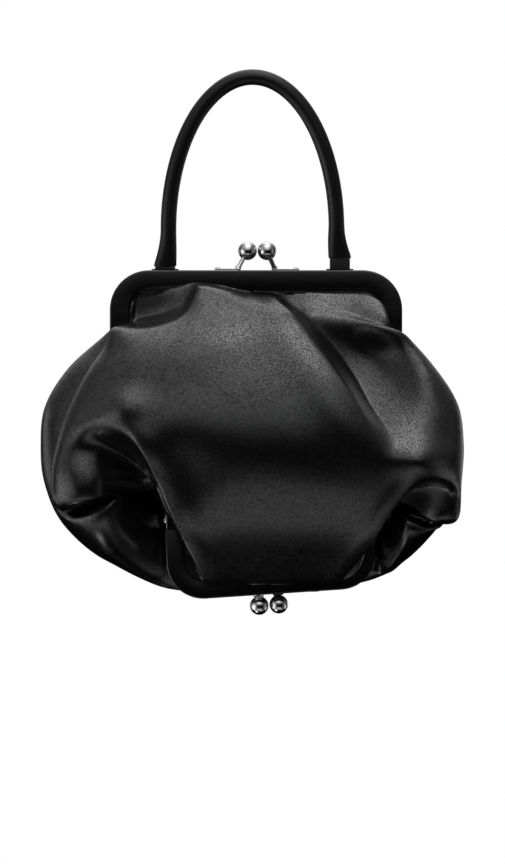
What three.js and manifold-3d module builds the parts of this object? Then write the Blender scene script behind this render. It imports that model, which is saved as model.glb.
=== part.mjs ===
// Black leather frame bag with a kiss lock at the top and a smaller one at the bottom.
// Millimetres, +Z up, front facing -Y, origin on the underside of the handle where it hangs.
import * as THREE from 'three';
import { mergeVertices } from 'three/addons/utils/BufferGeometryUtils.js';
import Module from 'manifold-3d';

const wasm = await Module();
wasm.setup();

// Handle: an arch on two legs that stand on the back half of the top frame
const HANDLE_HALF_SPAN = 57.6;
const HANDLE_RISE = 104;
const HANDLE_RADIUS = 5.4;
const HANDLE_LEG_SPREAD = 2.3;
const HANDLE_FLARE_HALF_WIDTH = 7.8;
const HANDLE_FLARE_HALF_THICKNESS = 3.4;
const HANDLE_FLARE_LENGTH = 24;
const HANDLE_FLARE_POWER = 1.5;
const HANDLE_LEFT_END = -124;
const HANDLE_RIGHT_END = -118.4;

// Handle tabs: a flat tongue on a thin foot
const TAB_FOOT_WIDTH = 18.5;
const TAB_FOOT_HEIGHT = 0.8;
const TAB_TONGUE_WIDTH = 13.8;
const TAB_DEPTH = 5;

// Frame halves: a bar bent to a U, with a groove along its inner edge for the leather
const HALF_INNER_FACE = 0.3;
const HALF_OUTER_FACE = 6.9;
const HALF_CHAMFER = 1;
const GROOVE_NEAR = 2.3;
const GROOVE_FAR = 4.9;
const GROOVE_DEPTH = 6.5;
const CORNER_STEPS = 10;
const TOP_FRAME = {
  x: 2.4, z: -127, tilt: 0, half: 100, arm: 45, band: 13.5, radius: 27, side: 1,
};
const BOTTOM_TILT = THREE.MathUtils.degToRad(3.8);
const BOTTOM_FRAME = {
  x: 14.5, z: -348.6, tilt: BOTTOM_TILT, half: 71.7, arm: 49, band: 12.5, radius: 25, side: -1,
};

// Kiss locks: balls on short stems
const BALL_RADIUS = 6.4;
const STEM_RADIUS = 1.55;
const TOP_BALLS = [
  { name: 'top_knob_front', face: -1, ball: -3.4, stem: -10.2, foot: [-26, -8.2] },
  { name: 'top_knob_back', face: 1, ball: 9.9, stem: 15.4, foot: [13.4, 32] },
];
const TOP_BALL_HEIGHT = 13.4;
const BOTTOM_BALLS = [
  { name: 'bottom_knob_front', face: -1, ball: -10.4, stem: -10.4, foot: [-14, -6.8] },
  { name: 'bottom_knob_back', face: 1, ball: 3, stem: 3, foot: [-0.6, 6.6] },
];
const BOTTOM_BALL_HEIGHT = 7.3;
const BALL_OFFSET = 0.6;
const FOOT_HEIGHT = 0.9;
const FOOT_DEPTH = 4.4;
const FOOT_RIVET_RADIUS = 1.7;

// Hinges: a plate on the arm ends with a domed rivet pointing outwards
const HINGE_PLATE_THICKNESS = 1.2;
const HINGE_PLATE_DEPTH = 8.4;
const HINGE_PLATE_HEIGHT = 9;
const HINGE_INSET = 1.4;
const RIVET_RADIUS = 2.6;
const RIVET_HEIGHT = 2.2;

// Gap left between pieces that touch
const GAP = 0.3;

// Leather panels
const WALL = 1.6;
const SKIN_AT_GROOVE = 4.4;
const SKIN_OVER_FRAME = 9.3;
const BAR_CLEARANCE = 1.8;
const FRONT_ROLL = THREE.MathUtils.degToRad(25);
const BACK_ROLL = THREE.MathUtils.degToRad(60);
const CREST_COLUMN = 0.45;
const HOLD_COLUMN = 0.56;
const BACK_CREST = 0.55;
const HELD_AT_SEAM = 0.86;
const TUCK_STEPS = [-5, 0.2, 1.8];
const SEAM_GAP = 0.45;
const SEAM_LIFT = 1.4;

// Side seams, a row for each section from top to bottom
const SEAMS = [
  { y: 0, leftX: -82, leftZ: -177, rightX: 86, rightZ: -177 },
  { y: -1, leftX: -90, leftZ: -184, rightX: 95, rightZ: -184 },
  { y: -3, leftX: -103, leftZ: -199, rightX: 111, rightZ: -199 },
  { y: -6, leftX: -117, leftZ: -222, rightX: 126, rightZ: -222 },
  { y: -9, leftX: -124, leftZ: -247, rightX: 131, rightZ: -247 },
  { y: -16, leftX: -127, leftZ: -272, rightX: 132, rightZ: -274 },
  { y: -26, leftX: -122, leftZ: -294, rightX: 127, rightZ: -300 },
  { y: -28, leftX: -103, leftZ: -284, rightX: 113, rightZ: -297 },
  { y: -2, leftX: -74, leftZ: -278, rightX: 96, rightZ: -281 },
  { y: 0, leftX: -43, leftZ: -283, rightX: 66, rightZ: -279 },
];

// Front panel sections: height and depth at the middle and the column where the section starts to bend
const FRONT_SECTIONS = [
  { mid: -147, depth: 18, bendFrom: 0.45 },
  { mid: -161, depth: 38, bendFrom: 0.3 },
  { mid: -183, depth: 56, bendFrom: 0.1 },
  { mid: -212, depth: 69, bendFrom: 0 },
  { mid: -243, depth: 74, bendFrom: 0 },
  { mid: -272, depth: 70, bendFrom: 0.3 },
  { mid: -299, depth: 57, bendFrom: 0.45 },
  { mid: -321, depth: 40, bendFrom: 0.45 },
  { mid: -342, depth: 17, bendFrom: 0.45 },
  { mid: -333, depth: 9.5, bendFrom: 0.42 },
];

// Sides of the front sections: crest of the fold, the hold just past it, and the widest place
const FRONT_LEFT = [
  { crest: -36, hold: -47, holdZ: -152, widest: -83 },
  { crest: -46, hold: -58, holdZ: -165, widest: -97 },
  { crest: -60, hold: -72, holdZ: -187, widest: -111 },
  { crest: -74, hold: -87, holdZ: -216, widest: -124 },
  { crest: -82, hold: -95, holdZ: -242, widest: -133 },
  { crest: -64, hold: -77, holdZ: -262, widest: -137 },
  { crest: -53, hold: -65, holdZ: -272, widest: -131 },
  { crest: -44, hold: -62, holdZ: -278, widest: -108 },
  { crest: -36, hold: -60, holdZ: -280, widest: -77 },
  { crest: -33, hold: -41, holdZ: -284, widest: -44 },
];
const FRONT_RIGHT = [
  { crest: 14, hold: 27, holdZ: -152, widest: 88 },
  { crest: 29, hold: 45, holdZ: -164, widest: 107 },
  { crest: 47, hold: 64, holdZ: -187, widest: 125 },
  { crest: 70, hold: 87, holdZ: -216, widest: 140 },
  { crest: 94, hold: 109, holdZ: -244, widest: 143.5 },
  { crest: 105, hold: 117, holdZ: -267, widest: 142 },
  { crest: 91, hold: 102, holdZ: -286, widest: 139 },
  { crest: 79, hold: 96, holdZ: -292, widest: 119 },
  { crest: 66, hold: 93, holdZ: -283, widest: 101 },
  { crest: 57, hold: 63, holdZ: -281, widest: 67 },
];

// Back panel sections: the same, with the widest places, how far the bottom rises to them at the left and
// the right, the forward swell of the flanks, and the columns between which the section bends to the seam
const BACK_SECTIONS = [
  { mid: -147, depth: 18, left: -84, right: 89, rises: [0, 0], swell: 0, bend: [0.55, 1] },
  { mid: -159, depth: 38, left: -103, right: 106, rises: [0, 0], swell: 0, bend: [0.4, 1] },
  { mid: -181, depth: 55, left: -127, right: 123, rises: [0, 0], swell: 0, bend: [0.3, 1] },
  { mid: -212, depth: 67, left: -143.5, right: 137, rises: [0, 0], swell: 0, bend: [0.25, 1] },
  { mid: -243, depth: 71, left: -146.5, right: 141, rises: [0, 0], swell: 0, bend: [0.25, 1] },
  { mid: -274, depth: 69, left: -143.5, right: 139, rises: [0, 0], swell: 0, bend: [0.4, 1] },
  { mid: -302, depth: 61, left: -130, right: 128, rises: [0, 0], swell: 14, bend: [0.7, 1] },
  { mid: -326, depth: 48, left: -101, right: 105, rises: [0, 0], swell: 16, bend: [0.72, 1] },
  { mid: -347, depth: 24, left: -64, right: 88, rises: [10, 17], swell: 3, bend: [0.7, 0.96] },
  { mid: -333, depth: 9.5, left: -44, right: 67, rises: [0, 0], swell: 0, bend: [0.42, 0.6] },
];
const RISE_FROM = 0.4;
const RISE_TO = 0.72;

// Crest places along the groove of each frame
const FRONT_TUCK = { top: [-38, 10], bottom: [-33, 62] };
const BACK_TUCK = { top: [-45, 48], bottom: [-33, 62] };

// Folds of the front panel: x, z, the share of the depth lost past the edge and the half width of the edge.
// The hollow lies to the right of the way
const FOLDS = [
  {
    name: 'right_bowl', reach: 85, ridge: 0.06, ridgeWidth: 15,
    way: [[118, -272, 0, 12], [99, -252, 0, 10], [89, -240, 0.16, 6], [78, -224, 0.45, 4.5],
      [65, -202, 0.62, 5], [46, -176, 0.62, 6], [33, -160, 0.5, 6], [24, -150, 0.35, 5], [12, -139, 0.3, 4]],
  },
  {
    name: 'left_arch', reach: 46, ridge: 0.03, ridgeWidth: 10,
    way: [[-140, -256, 0, 10], [-128, -249, 0, 10], [-117, -243, 0.12, 11], [-102, -240, 0.3, 11],
      [-87, -245, 0.48, 9], [-75, -255, 0.6, 5], [-63.5, -269, 0.7, 2], [-56, -290, 0.72, 1.3],
      [-45, -316, 0.72, 1.2], [-34, -339, 0.5, 1.2]],
  },
  {
    name: 'right_arch', reach: 45, ridge: 0.03, ridgeWidth: 6,
    way: [[62, -339, 0.5, 1.2], [84, -311, 0.65, 1.2], [92, -296, 0.6, 1.3], [100, -285, 0.55, 1.5],
      [110, -276.5, 0.5, 2], [121, -273, 0.4, 2.5], [130, -274, 0.2, 3], [140, -277, 0, 4]],
  },
  {
    name: 'left_pocket', reach: 34, ridge: 0.08, ridgeWidth: 12,
    way: [[-30, -134, 0.2, 5], [-38, -145, 0.4, 10], [-46, -154, 0.52, 13], [-60, -161, 0.62, 10],
      [-77, -165, 0.6, 6], [-90, -167, 0.2, 4]],
  },
];
const FOLD_STEPS = 60;
const FOLD_BLEND = 6;
const FADE_START = 0.05;
const LEAST_EDGE = 4;

// Places where the front panel is pulled across, out and up
const PULLS = [
  { x: -36, z: -144, reachX: 27, reachZ: 10, across: 0, out: 4, up: 7 },
  { x: -68, z: -146, reachX: 18, reachZ: 9, across: 0, out: 1, up: 4 },
  { x: 50, z: -150, reachX: 36, reachZ: 9, across: 0, out: 7, up: 1 },
  { x: 80, z: -152, reachX: 16, reachZ: 12, across: 2, out: 8, up: 0 },
  { x: 94, z: -164, reachX: 14, reachZ: 14, across: 7, out: 7, up: 0 },
  { x: 106, z: -180, reachX: 15, reachZ: 17, across: 2, out: 6, up: 0 },
  { x: 118, z: -200, reachX: 13, reachZ: 18, across: 0, out: 5, up: 0 },
  { x: 116, z: -258, reachX: 20, reachZ: 13, across: 0, out: 9, up: 0 },
  { x: 74, z: -190, reachX: 18, reachZ: 18, across: 0, out: -5, up: 0 },
  { x: -88, z: -219, reachX: 15, reachZ: 11, across: 0, out: 6, up: 0 },
  { x: -114, z: -285, reachX: 20, reachZ: 18, across: 0, out: 8, up: 0 },
  { x: -92, z: -169, reachX: 12, reachZ: 9, across: -6, out: 5, up: 4 },
];
const FRONT_COLUMNS = 38;
const BACK_COLUMNS = 25;
const BACK_CROWDING = 1.5;
const CUTS = [1, 1, 3, 3, 3, 3, 3, 3, 3, 3, 3, 3, 3, 1, 1];
const TUCKED_ROWS = TUCK_STEPS.length;

// Colour, roughness and metalness of each kind of surface
const BODY_LEATHER = { color: 0x171718, roughness: 0.45, metalness: 0 };
const FRAME_LEATHER = { color: 0x111112, roughness: 0.5, metalness: 0 };
const HANDLE_LEATHER = { color: 0x121213, roughness: 0.45, metalness: 0 };
const DARK_NICKEL = { color: 0x8e8e91, roughness: 0.18, metalness: 1 };
const STEEL = { color: 0xc2c2c4, roughness: 0.28, metalness: 1 };

const bag = new THREE.Group();
bag.name = 'kiss_lock_bag';

function addMesh(name, geometry, look) {
  const mesh = new THREE.Mesh(geometry, new THREE.MeshStandardMaterial(look));
  mesh.name = name;
  bag.add(mesh);
  return mesh;
}

function smoothStep(low, high, value) {
  const share = Math.min(Math.max((value - low) / (high - low), 0), 1);
  return share * share * (3 - 2 * share);
}

// Value at a place between knots, straight from one knot to the next
function between(place, knots, values) {
  let span = 0;
  while (span < knots.length - 2 && place > knots[span + 1]) {
    span += 1;
  }
  const share = (place - knots[span]) / (knots[span + 1] - knots[span]);
  return values[span] + share * (values[span + 1] - values[span]);
}

function indexedGeometry(positions, triangles) {
  const geometry = new THREE.BufferGeometry();
  geometry.setAttribute('position', new THREE.Float32BufferAttribute(positions.flat(), 3));
  geometry.setIndex(triangles.flat());
  return geometry;
}

// Closed solid through rings of points that all run the same way round, with flat ends
function ringSolid(rings, outline) {
  const count = rings[0].length;
  const triangles = [];
  for (let ring = 0; ring < rings.length - 1; ring += 1) {
    for (let k = 0; k < count; k += 1) {
      const next = (k + 1) % count;
      const here = ring * count;
      const there = here + count;
      triangles.push([here + k, here + next, there + next]);
      triangles.push([here + k, there + next, there + k]);
    }
  }
  const last = (rings.length - 1) * count;
  const isClockwise = THREE.ShapeUtils.isClockWise(outline);
  for (const corners of THREE.ShapeUtils.triangulateShape(outline, [])) {
    const [a, b, c] = isClockwise ? corners.toReversed() : corners;
    triangles.push([a, c, b]);
    triangles.push([last + a, last + b, last + c]);
  }
  const geometry = indexedGeometry(rings.flat(), triangles);
  return facingOut(geometry);
}

// Turns a closed mesh the right way out
function facingOut(geometry) {
  const index = geometry.index.array;
  const place = geometry.attributes.position;
  const a = new THREE.Vector3();
  const b = new THREE.Vector3();
  const c = new THREE.Vector3();
  let volume = 0;
  for (let k = 0; k < index.length; k += 3) {
    a.fromBufferAttribute(place, index[k]);
    b.fromBufferAttribute(place, index[k + 1]);
    c.fromBufferAttribute(place, index[k + 2]);
    volume += a.dot(b.cross(c));
  }
  if (volume < 0) {
    for (let k = 0; k < index.length; k += 3) {
      const keep = index[k];
      index[k] = index[k + 1];
      index[k + 1] = keep;
    }
  }
  return geometry;
}

function toManifold(geometry) {
  const plain = geometry.clone();
  plain.deleteAttribute('normal');
  plain.deleteAttribute('uv');
  const merged = mergeVertices(plain, 1e-4);
  const mesh = new wasm.Mesh({
    numProp: 3,
    vertProperties: new Float32Array(merged.attributes.position.array),
    triVerts: new Uint32Array(merged.index.array),
  });
  return new wasm.Manifold(mesh);
}

function joined(geometries) {
  let whole = toManifold(geometries[0]);
  for (const geometry of geometries.slice(1)) {
    whole = whole.add(toManifold(geometry));
  }
  const mesh = whole.getMesh();
  const result = new THREE.BufferGeometry();
  result.setAttribute('position', new THREE.BufferAttribute(mesh.vertProperties, 3));
  result.setIndex(new THREE.BufferAttribute(mesh.triVerts, 1));
  return result;
}

// Frame places: across from the middle and down from the bar's outer edge, turned into x and z
function framePlace(frame, across, down) {
  const up = -frame.side * down;
  return {
    x: frame.x + across * Math.cos(frame.tilt) - up * Math.sin(frame.tilt),
    z: frame.z + across * Math.sin(frame.tilt) + up * Math.cos(frame.tilt),
  };
}

// Corner places of a frame's outer edge from left arm end to right arm end, with the inward direction
function frameStations(frame) {
  const stations = [{ across: -frame.half, down: frame.arm, inAcross: 1, inDown: 0 }];
  for (const hand of [-1, 1]) {
    for (let step = 0; step <= CORNER_STEPS; step += 1) {
      const share = hand < 0 ? step / CORNER_STEPS : 1 - step / CORNER_STEPS;
      const turn = share * Math.PI / 2;
      stations.push({
        across: hand * (frame.half - frame.radius + frame.radius * Math.cos(turn)),
        down: frame.radius - frame.radius * Math.sin(turn),
        inAcross: -hand * Math.cos(turn),
        inDown: Math.sin(turn),
      });
    }
  }
  stations.push({ across: frame.half, down: frame.arm, inAcross: -1, inDown: 0 });
  return stations;
}

function frameHalf(frame, face) {
  const section = [
    [0, HALF_INNER_FACE],
    [0, HALF_OUTER_FACE - HALF_CHAMFER],
    [HALF_CHAMFER, HALF_OUTER_FACE],
    [frame.band - HALF_CHAMFER, HALF_OUTER_FACE],
    [frame.band, HALF_OUTER_FACE - HALF_CHAMFER],
    [frame.band, GROOVE_FAR],
    [frame.band - GROOVE_DEPTH, GROOVE_FAR],
    [frame.band - GROOVE_DEPTH, GROOVE_NEAR],
    [frame.band, GROOVE_NEAR],
    [frame.band, HALF_INNER_FACE],
  ];
  const rings = [];
  for (const station of frameStations(frame)) {
    const ring = [];
    for (const [inset, depth] of section) {
      const across = station.across + station.inAcross * inset;
      const down = station.down + station.inDown * inset;
      const place = framePlace(frame, across, down);
      ring.push([place.x, face * depth, place.z]);
    }
    rings.push(ring);
  }
  return ringSolid(rings, section.map(([inset, depth]) => new THREE.Vector2(inset, depth)));
}

// Place along a frame's bar at an inset: share runs from -1 at the left arm end to 1 at the right one
function groovePlace(frame, share, inset) {
  const radius = frame.radius - inset;
  const flat = frame.half - inset - radius;
  const bow = radius * Math.PI / 2;
  const leg = frame.arm - inset - radius;
  const run = Math.abs(share) * (flat + bow + leg);
  const turn = Math.min(Math.max((run - flat) / radius, 0), Math.PI / 2);
  const across = Math.min(run, flat) + radius * Math.sin(turn);
  const down = inset + radius * (1 - Math.cos(turn)) + Math.max(run - flat - bow, 0);
  return framePlace(frame, Math.sign(share) * across, down);
}

function grooveLength(frame, inset) {
  const radius = frame.radius - inset;
  return frame.half - inset - radius + radius * Math.PI / 2 + frame.arm - inset - radius;
}

function tuckedRow(frame, inset, crests, columns, face) {
  const length = grooveLength(frame, inset);
  const low = (crests[0] - frame.x) / length;
  const high = (crests[1] - frame.x) / length;
  return columns.map((column) => {
    const share = between(column, [-1, -CREST_COLUMN, CREST_COLUMN, 1], [-1, low, high, 1]);
    const place = groovePlace(frame, share, inset);
    return [place.x, face * SKIN_AT_GROOVE, place.z];
  });
}

// x and y of a place round one section, by the angle from its middle
function roundSection(angle, limit, widest, seamX, depth, seamY, face) {
  const swing = Math.sin(Math.abs(angle));
  const past = (swing - Math.sin(limit)) / (1 - Math.sin(limit));
  const x = Math.abs(angle) < Math.PI / 2 ? widest * swing : seamX + (widest - seamX) * past;
  const bulge = Math.max((Math.cos(angle) - Math.cos(limit)) / (1 - Math.cos(limit)), 0) ** 0.9;
  return [x, (seamY + face * SEAM_GAP) * (1 - bulge) + face * depth * bulge];
}

function frontRow(section, left, right, seam, columns) {
  const limit = Math.PI / 2 + FRONT_ROLL;
  const knots = [-1, -HOLD_COLUMN, -CREST_COLUMN, CREST_COLUMN, HOLD_COLUMN, 1];
  const turns = [-limit, -Math.asin(left.hold / left.widest), -Math.asin(left.crest / left.widest),
    Math.asin(right.crest / right.widest), Math.asin(right.hold / right.widest), limit];
  return columns.map((column) => {
    const angle = between(column, knots, turns);
    const side = angle < 0 ? left : right;
    const seamX = angle < 0 ? seam.leftX : seam.rightX;
    const seamZ = (angle < 0 ? seam.leftZ : seam.rightZ) + SEAM_LIFT;
    const [x, y] = roundSection(angle, limit, side.widest, seamX, section.depth, seam.y, -1);
    const rise = smoothStep(section.bendFrom, HOLD_COLUMN, Math.abs(column));
    const fall = smoothStep(HOLD_COLUMN, 1, Math.abs(column));
    return [x, y, section.mid + (side.holdZ - section.mid) * rise + (seamZ - side.holdZ) * fall];
  });
}

function backRow(section, seam, columns) {
  const limit = Math.PI / 2 + BACK_ROLL;
  const crest = Math.asin(BACK_CREST);
  return columns.map((column) => {
    const angle = between(column, [-1, -CREST_COLUMN, CREST_COLUMN, 1], [-limit, -crest, crest, limit]);
    const widest = angle < 0 ? section.left : section.right;
    const seamX = angle < 0 ? seam.leftX : seam.rightX;
    const seamZ = (angle < 0 ? seam.leftZ : seam.rightZ) - SEAM_LIFT;
    const [x, y] = roundSection(angle, limit, widest, seamX, section.depth, seam.y, 1);
    const flank = Math.max((Math.abs(angle) - Math.PI / 2) / BACK_ROLL, 0);
    const rise = section.rises[angle < 0 ? 0 : 1];
    const bottom = section.mid + rise * smoothStep(RISE_FROM, RISE_TO, Math.abs(column));
    const bend = smoothStep(...section.bend, Math.abs(column));
    return [x, y - section.swell * Math.sin(Math.PI * flank), bottom + (seamZ - bottom) * bend];
  });
}

// Way run by the rows of a panel, on average over its columns
function rowStops(rows) {
  const stops = [0];
  for (let row = 1; row < rows.length; row += 1) {
    let sum = 0;
    for (let column = 0; column < rows[row].length; column += 1) {
      const here = new THREE.Vector3(...rows[row][column]);
      sum += here.distanceTo(new THREE.Vector3(...rows[row - 1][column]));
    }
    stops.push(stops[row - 1] + sum / rows[row].length);
  }
  return stops;
}

// Smooth surface through rows of points, with more rows between them
function lofted(rows, stops) {
  const surface = [];
  CUTS.forEach((cuts, span) => {
    const isLast = span === CUTS.length - 1;
    for (let cut = 0; cut < cuts + (isLast ? 1 : 0); cut += 1) {
      surface.push(rows[span].map((_, column) => [0, 1, 2].map((axis) => (
        hermite(rows.map((row) => row[column][axis]), stops, span, cut / cuts)
      ))));
    }
  });
  return surface;
}

// Smooth value in one span of a run of values
function hermite(values, stops, span, share) {
  const width = stops[span + 1] - stops[span];
  const slope = (k) => {
    const before = Math.max(k - 1, 0);
    const after = Math.min(k + 1, values.length - 1);
    return (values[after] - values[before]) / (stops[after] - stops[before]);
  };
  const square = share * share;
  const cube = square * share;
  const slopes = (cube - 2 * square + share) * slope(span) + (cube - square) * slope(span + 1);
  const blend = 3 * square - 2 * cube;
  return values[span] + (values[span + 1] - values[span]) * blend + slopes * width;
}

// A fold's way cut into short steps of x, z, lost depth and edge
function foldSteps(fold) {
  const stops = [0];
  for (let k = 1; k < fold.way.length; k += 1) {
    const [x, z] = fold.way[k];
    const [lastX, lastZ] = fold.way[k - 1];
    stops.push(stops[k - 1] + Math.hypot(x - lastX, z - lastZ));
  }
  const steps = [];
  for (let step = 0; step <= FOLD_STEPS; step += 1) {
    const place = stops.at(-1) * step / FOLD_STEPS;
    let span = 0;
    while (span < fold.way.length - 2 && place > stops[span + 1]) {
      span += 1;
    }
    const share = (place - stops[span]) / (stops[span + 1] - stops[span]);
    const valueAt = (axis) => hermite(fold.way.map((point) => point[axis]), stops, span, share);
    steps.push([0, 1, 2, 3].map(valueAt));
  }
  return steps;
}

// Share of the depth that is left at a place beside a fold
function foldShare(fold, steps, x, z) {
  let nearest = Infinity;
  let side = 1;
  let edge = LEAST_EDGE;
  for (let k = 0; k < steps.length - 1; k += 1) {
    const [ax, az] = steps[k];
    const dx = steps[k + 1][0] - ax;
    const dz = steps[k + 1][1] - az;
    const along = Math.min(Math.max(((x - ax) * dx + (z - az) * dz) / (dx * dx + dz * dz), 0), 1);
    const away = Math.hypot(x - ax - along * dx, z - az - along * dz);
    if (away < nearest) {
      nearest = away;
      side = (x - ax) * dz - (z - az) * dx > 0 ? 1 : -1;
      edge = Math.max(steps[k][3], LEAST_EDGE);
    }
  }
  let weights = 0;
  let lost = 0;
  for (const [stepX, stepZ, drop] of steps) {
    const weight = Math.exp((nearest - Math.hypot(x - stepX, z - stepZ)) / FOLD_BLEND);
    weights += weight;
    lost += weight * drop;
  }
  const drop = lost / weights;
  const past = side * nearest;
  const fade = 1 - smoothStep(FADE_START * fold.reach, fold.reach, past);
  const hollow = smoothStep(-edge, edge, past) * fade;
  const ridge = 2 * fold.ridge * drop * Math.exp(-((past / fold.ridgeWidth + 1) ** 2));
  return 1 - drop * hollow + ridge;
}

function isOverBar(frame, x, z) {
  const dx = x - frame.x;
  const dz = z - frame.z;
  const across = Math.abs(dx * Math.cos(frame.tilt) + dz * Math.sin(frame.tilt));
  const down = -frame.side * (dz * Math.cos(frame.tilt) - dx * Math.sin(frame.tilt));
  const clear = BAR_CLEARANCE;
  const armEnd = frame.arm + GAP + HINGE_PLATE_HEIGHT;
  const isInside = across < frame.half + clear && down > -clear && down < armEnd + clear;
  const isInMouth = across < frame.half - frame.band - clear && down > frame.band + clear;
  return isInside && !isInMouth;
}

// Rows of one panel's outer skin from the top groove to the bottom groove
function panelRows(columns, face) {
  const tuck = face < 0 ? FRONT_TUCK : BACK_TUCK;
  const rows = [];
  for (const step of TUCK_STEPS) {
    rows.push(tuckedRow(TOP_FRAME, TOP_FRAME.band + step, tuck.top, columns, face));
  }
  SEAMS.forEach((seam, k) => {
    if (face < 0) {
      rows.push(frontRow(FRONT_SECTIONS[k], FRONT_LEFT[k], FRONT_RIGHT[k], seam, columns));
    } else {
      rows.push(backRow(BACK_SECTIONS[k], seam, columns));
    }
  });
  for (const step of TUCK_STEPS.toReversed()) {
    rows.push(tuckedRow(BOTTOM_FRAME, BOTTOM_FRAME.band + step, tuck.bottom, columns, face));
  }
  return rows;
}

// A place on the front panel after its pulls, each of which fades out over its reach and towards the seams
function pulled(x, depth, z, loose) {
  let place = [x, depth, z];
  for (const pull of PULLS) {
    const aside = (place[0] - pull.x) / pull.reachX;
    const above = (place[2] - pull.z) / pull.reachZ;
    const share = loose * Math.exp(-aside * aside - above * above);
    place = [place[0] + pull.across * share, place[1] + pull.out * share, place[2] + pull.up * share];
  }
  return place;
}

// Skin with its folds sunk in, kept off the bars of the frames
function foldedSkin(skin, columns, folds, face) {
  const ways = folds.map(foldSteps);
  return skin.map((row, k) => row.map(([flatX, flatY, flatZ], column) => {
    if (k < TUCKED_ROWS || k >= skin.length - TUCKED_ROWS) {
      return [flatX, flatY, flatZ];
    }
    let [x, depth, z] = [flatX, face * flatY, flatZ];
    const held = smoothStep(HELD_AT_SEAM, 1, Math.abs(columns[column]));
    if (depth > SKIN_AT_GROOVE) {
      let share = 1;
      folds.forEach((fold, f) => {
        share *= foldShare(fold, ways[f], x, z);
      });
      share += (1 - share) * held;
      depth = SKIN_AT_GROOVE + (depth - SKIN_AT_GROOVE) * share;
    }
    if (face < 0) {
      [x, depth, z] = pulled(x, depth, z, 1 - held);
    }
    if (isOverBar(TOP_FRAME, x, z) || isOverBar(BOTTOM_FRAME, x, z)) {
      depth = Math.max(depth, SKIN_OVER_FRAME);
    }
    return [x, face * depth, z];
  }));
}

// Closed wall behind a skin of points
function sheetSolid(skin, face) {
  const height = skin.length;
  const width = skin[0].length;
  const triangles = [];
  for (let row = 0; row < height - 1; row += 1) {
    for (let column = 0; column < width - 1; column += 1) {
      const a = row * width + column;
      const b = a + width;
      const pair = face < 0 ? [[a, b, b + 1], [a, b + 1, a + 1]] : [[a, b + 1, b], [a, a + 1, b + 1]];
      triangles.push(...pair);
    }
  }
  const outer = indexedGeometry(skin.flat(), triangles);
  outer.computeVertexNormals();
  const normals = outer.attributes.normal;
  const inner = skin.flat().map(([x, y, z], k) => {
    const row = Math.floor(k / width);
    if (row < TUCKED_ROWS || row >= height - TUCKED_ROWS) {
      return [x, y - WALL * face, z];
    }
    return [x - WALL * normals.getX(k), y - WALL * normals.getY(k), z - WALL * normals.getZ(k)];
  });
  const shift = height * width;
  const turned = triangles.map(([a, b, c]) => [a + shift, c + shift, b + shift]);
  const rim = [];
  for (let column = 0; column < width; column += 1) {
    rim.push(column);
  }
  for (let row = 1; row < height; row += 1) {
    rim.push(row * width + width - 1);
  }
  for (let column = width - 2; column >= 0; column -= 1) {
    rim.push((height - 1) * width + column);
  }
  for (let row = height - 2; row > 0; row -= 1) {
    rim.push(row * width);
  }
  const edges = [];
  rim.forEach((a, k) => {
    const b = rim[(k + 1) % rim.length];
    const front = [[a, b, b + shift], [a, b + shift, a + shift]];
    const back = [[a, b + shift, b], [a, a + shift, b + shift]];
    edges.push(...(face < 0 ? front : back));
  });
  return indexedGeometry([...skin.flat(), ...inner], [...triangles, ...turned, ...edges]);
}

// Columns across a panel, closer together towards the seams where the crowding is over 1
function panelColumns(count, crowding) {
  const columns = [];
  for (let k = 0; k <= count; k += 1) {
    const share = -1 + 2 * k / count;
    columns.push(Math.sign(share) * (1 - (1 - Math.abs(share)) ** crowding));
  }
  return columns;
}

function addLeather() {
  const frontColumns = panelColumns(FRONT_COLUMNS, 1);
  const frontRows = panelRows(frontColumns, -1);
  const stops = rowStops(frontRows);
  const frontSkin = foldedSkin(lofted(frontRows, stops), frontColumns, FOLDS, -1);
  addMesh('leather_front', sheetSolid(frontSkin, -1), BODY_LEATHER);
  const backColumns = panelColumns(BACK_COLUMNS, BACK_CROWDING);
  const backRows = panelRows(backColumns, 1);
  const backSkin = foldedSkin(lofted(backRows, stops), backColumns, [], 1);
  addMesh('leather_back', sheetSolid(backSkin, 1), BODY_LEATHER);
}

function addFrames() {
  addMesh('top_frame_front', frameHalf(TOP_FRAME, -1), FRAME_LEATHER);
  addMesh('top_frame_back', frameHalf(TOP_FRAME, 1), FRAME_LEATHER);
  addMesh('bottom_frame_front', frameHalf(BOTTOM_FRAME, -1), FRAME_LEATHER);
  addMesh('bottom_frame_back', frameHalf(BOTTOM_FRAME, 1), FRAME_LEATHER);
}

// Rod between two points
function rod(from, to, radius, sides) {
  const way = new THREE.Vector3().subVectors(to, from);
  const geometry = new THREE.CylinderGeometry(radius, radius, way.length(), sides);
  const upright = new THREE.Vector3(0, 1, 0);
  const turn = new THREE.Quaternion().setFromUnitVectors(upright, way.clone().normalize());
  geometry.applyQuaternion(turn);
  geometry.translate(...from.clone().addScaledVector(way, 0.5).toArray());
  return geometry;
}

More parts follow.
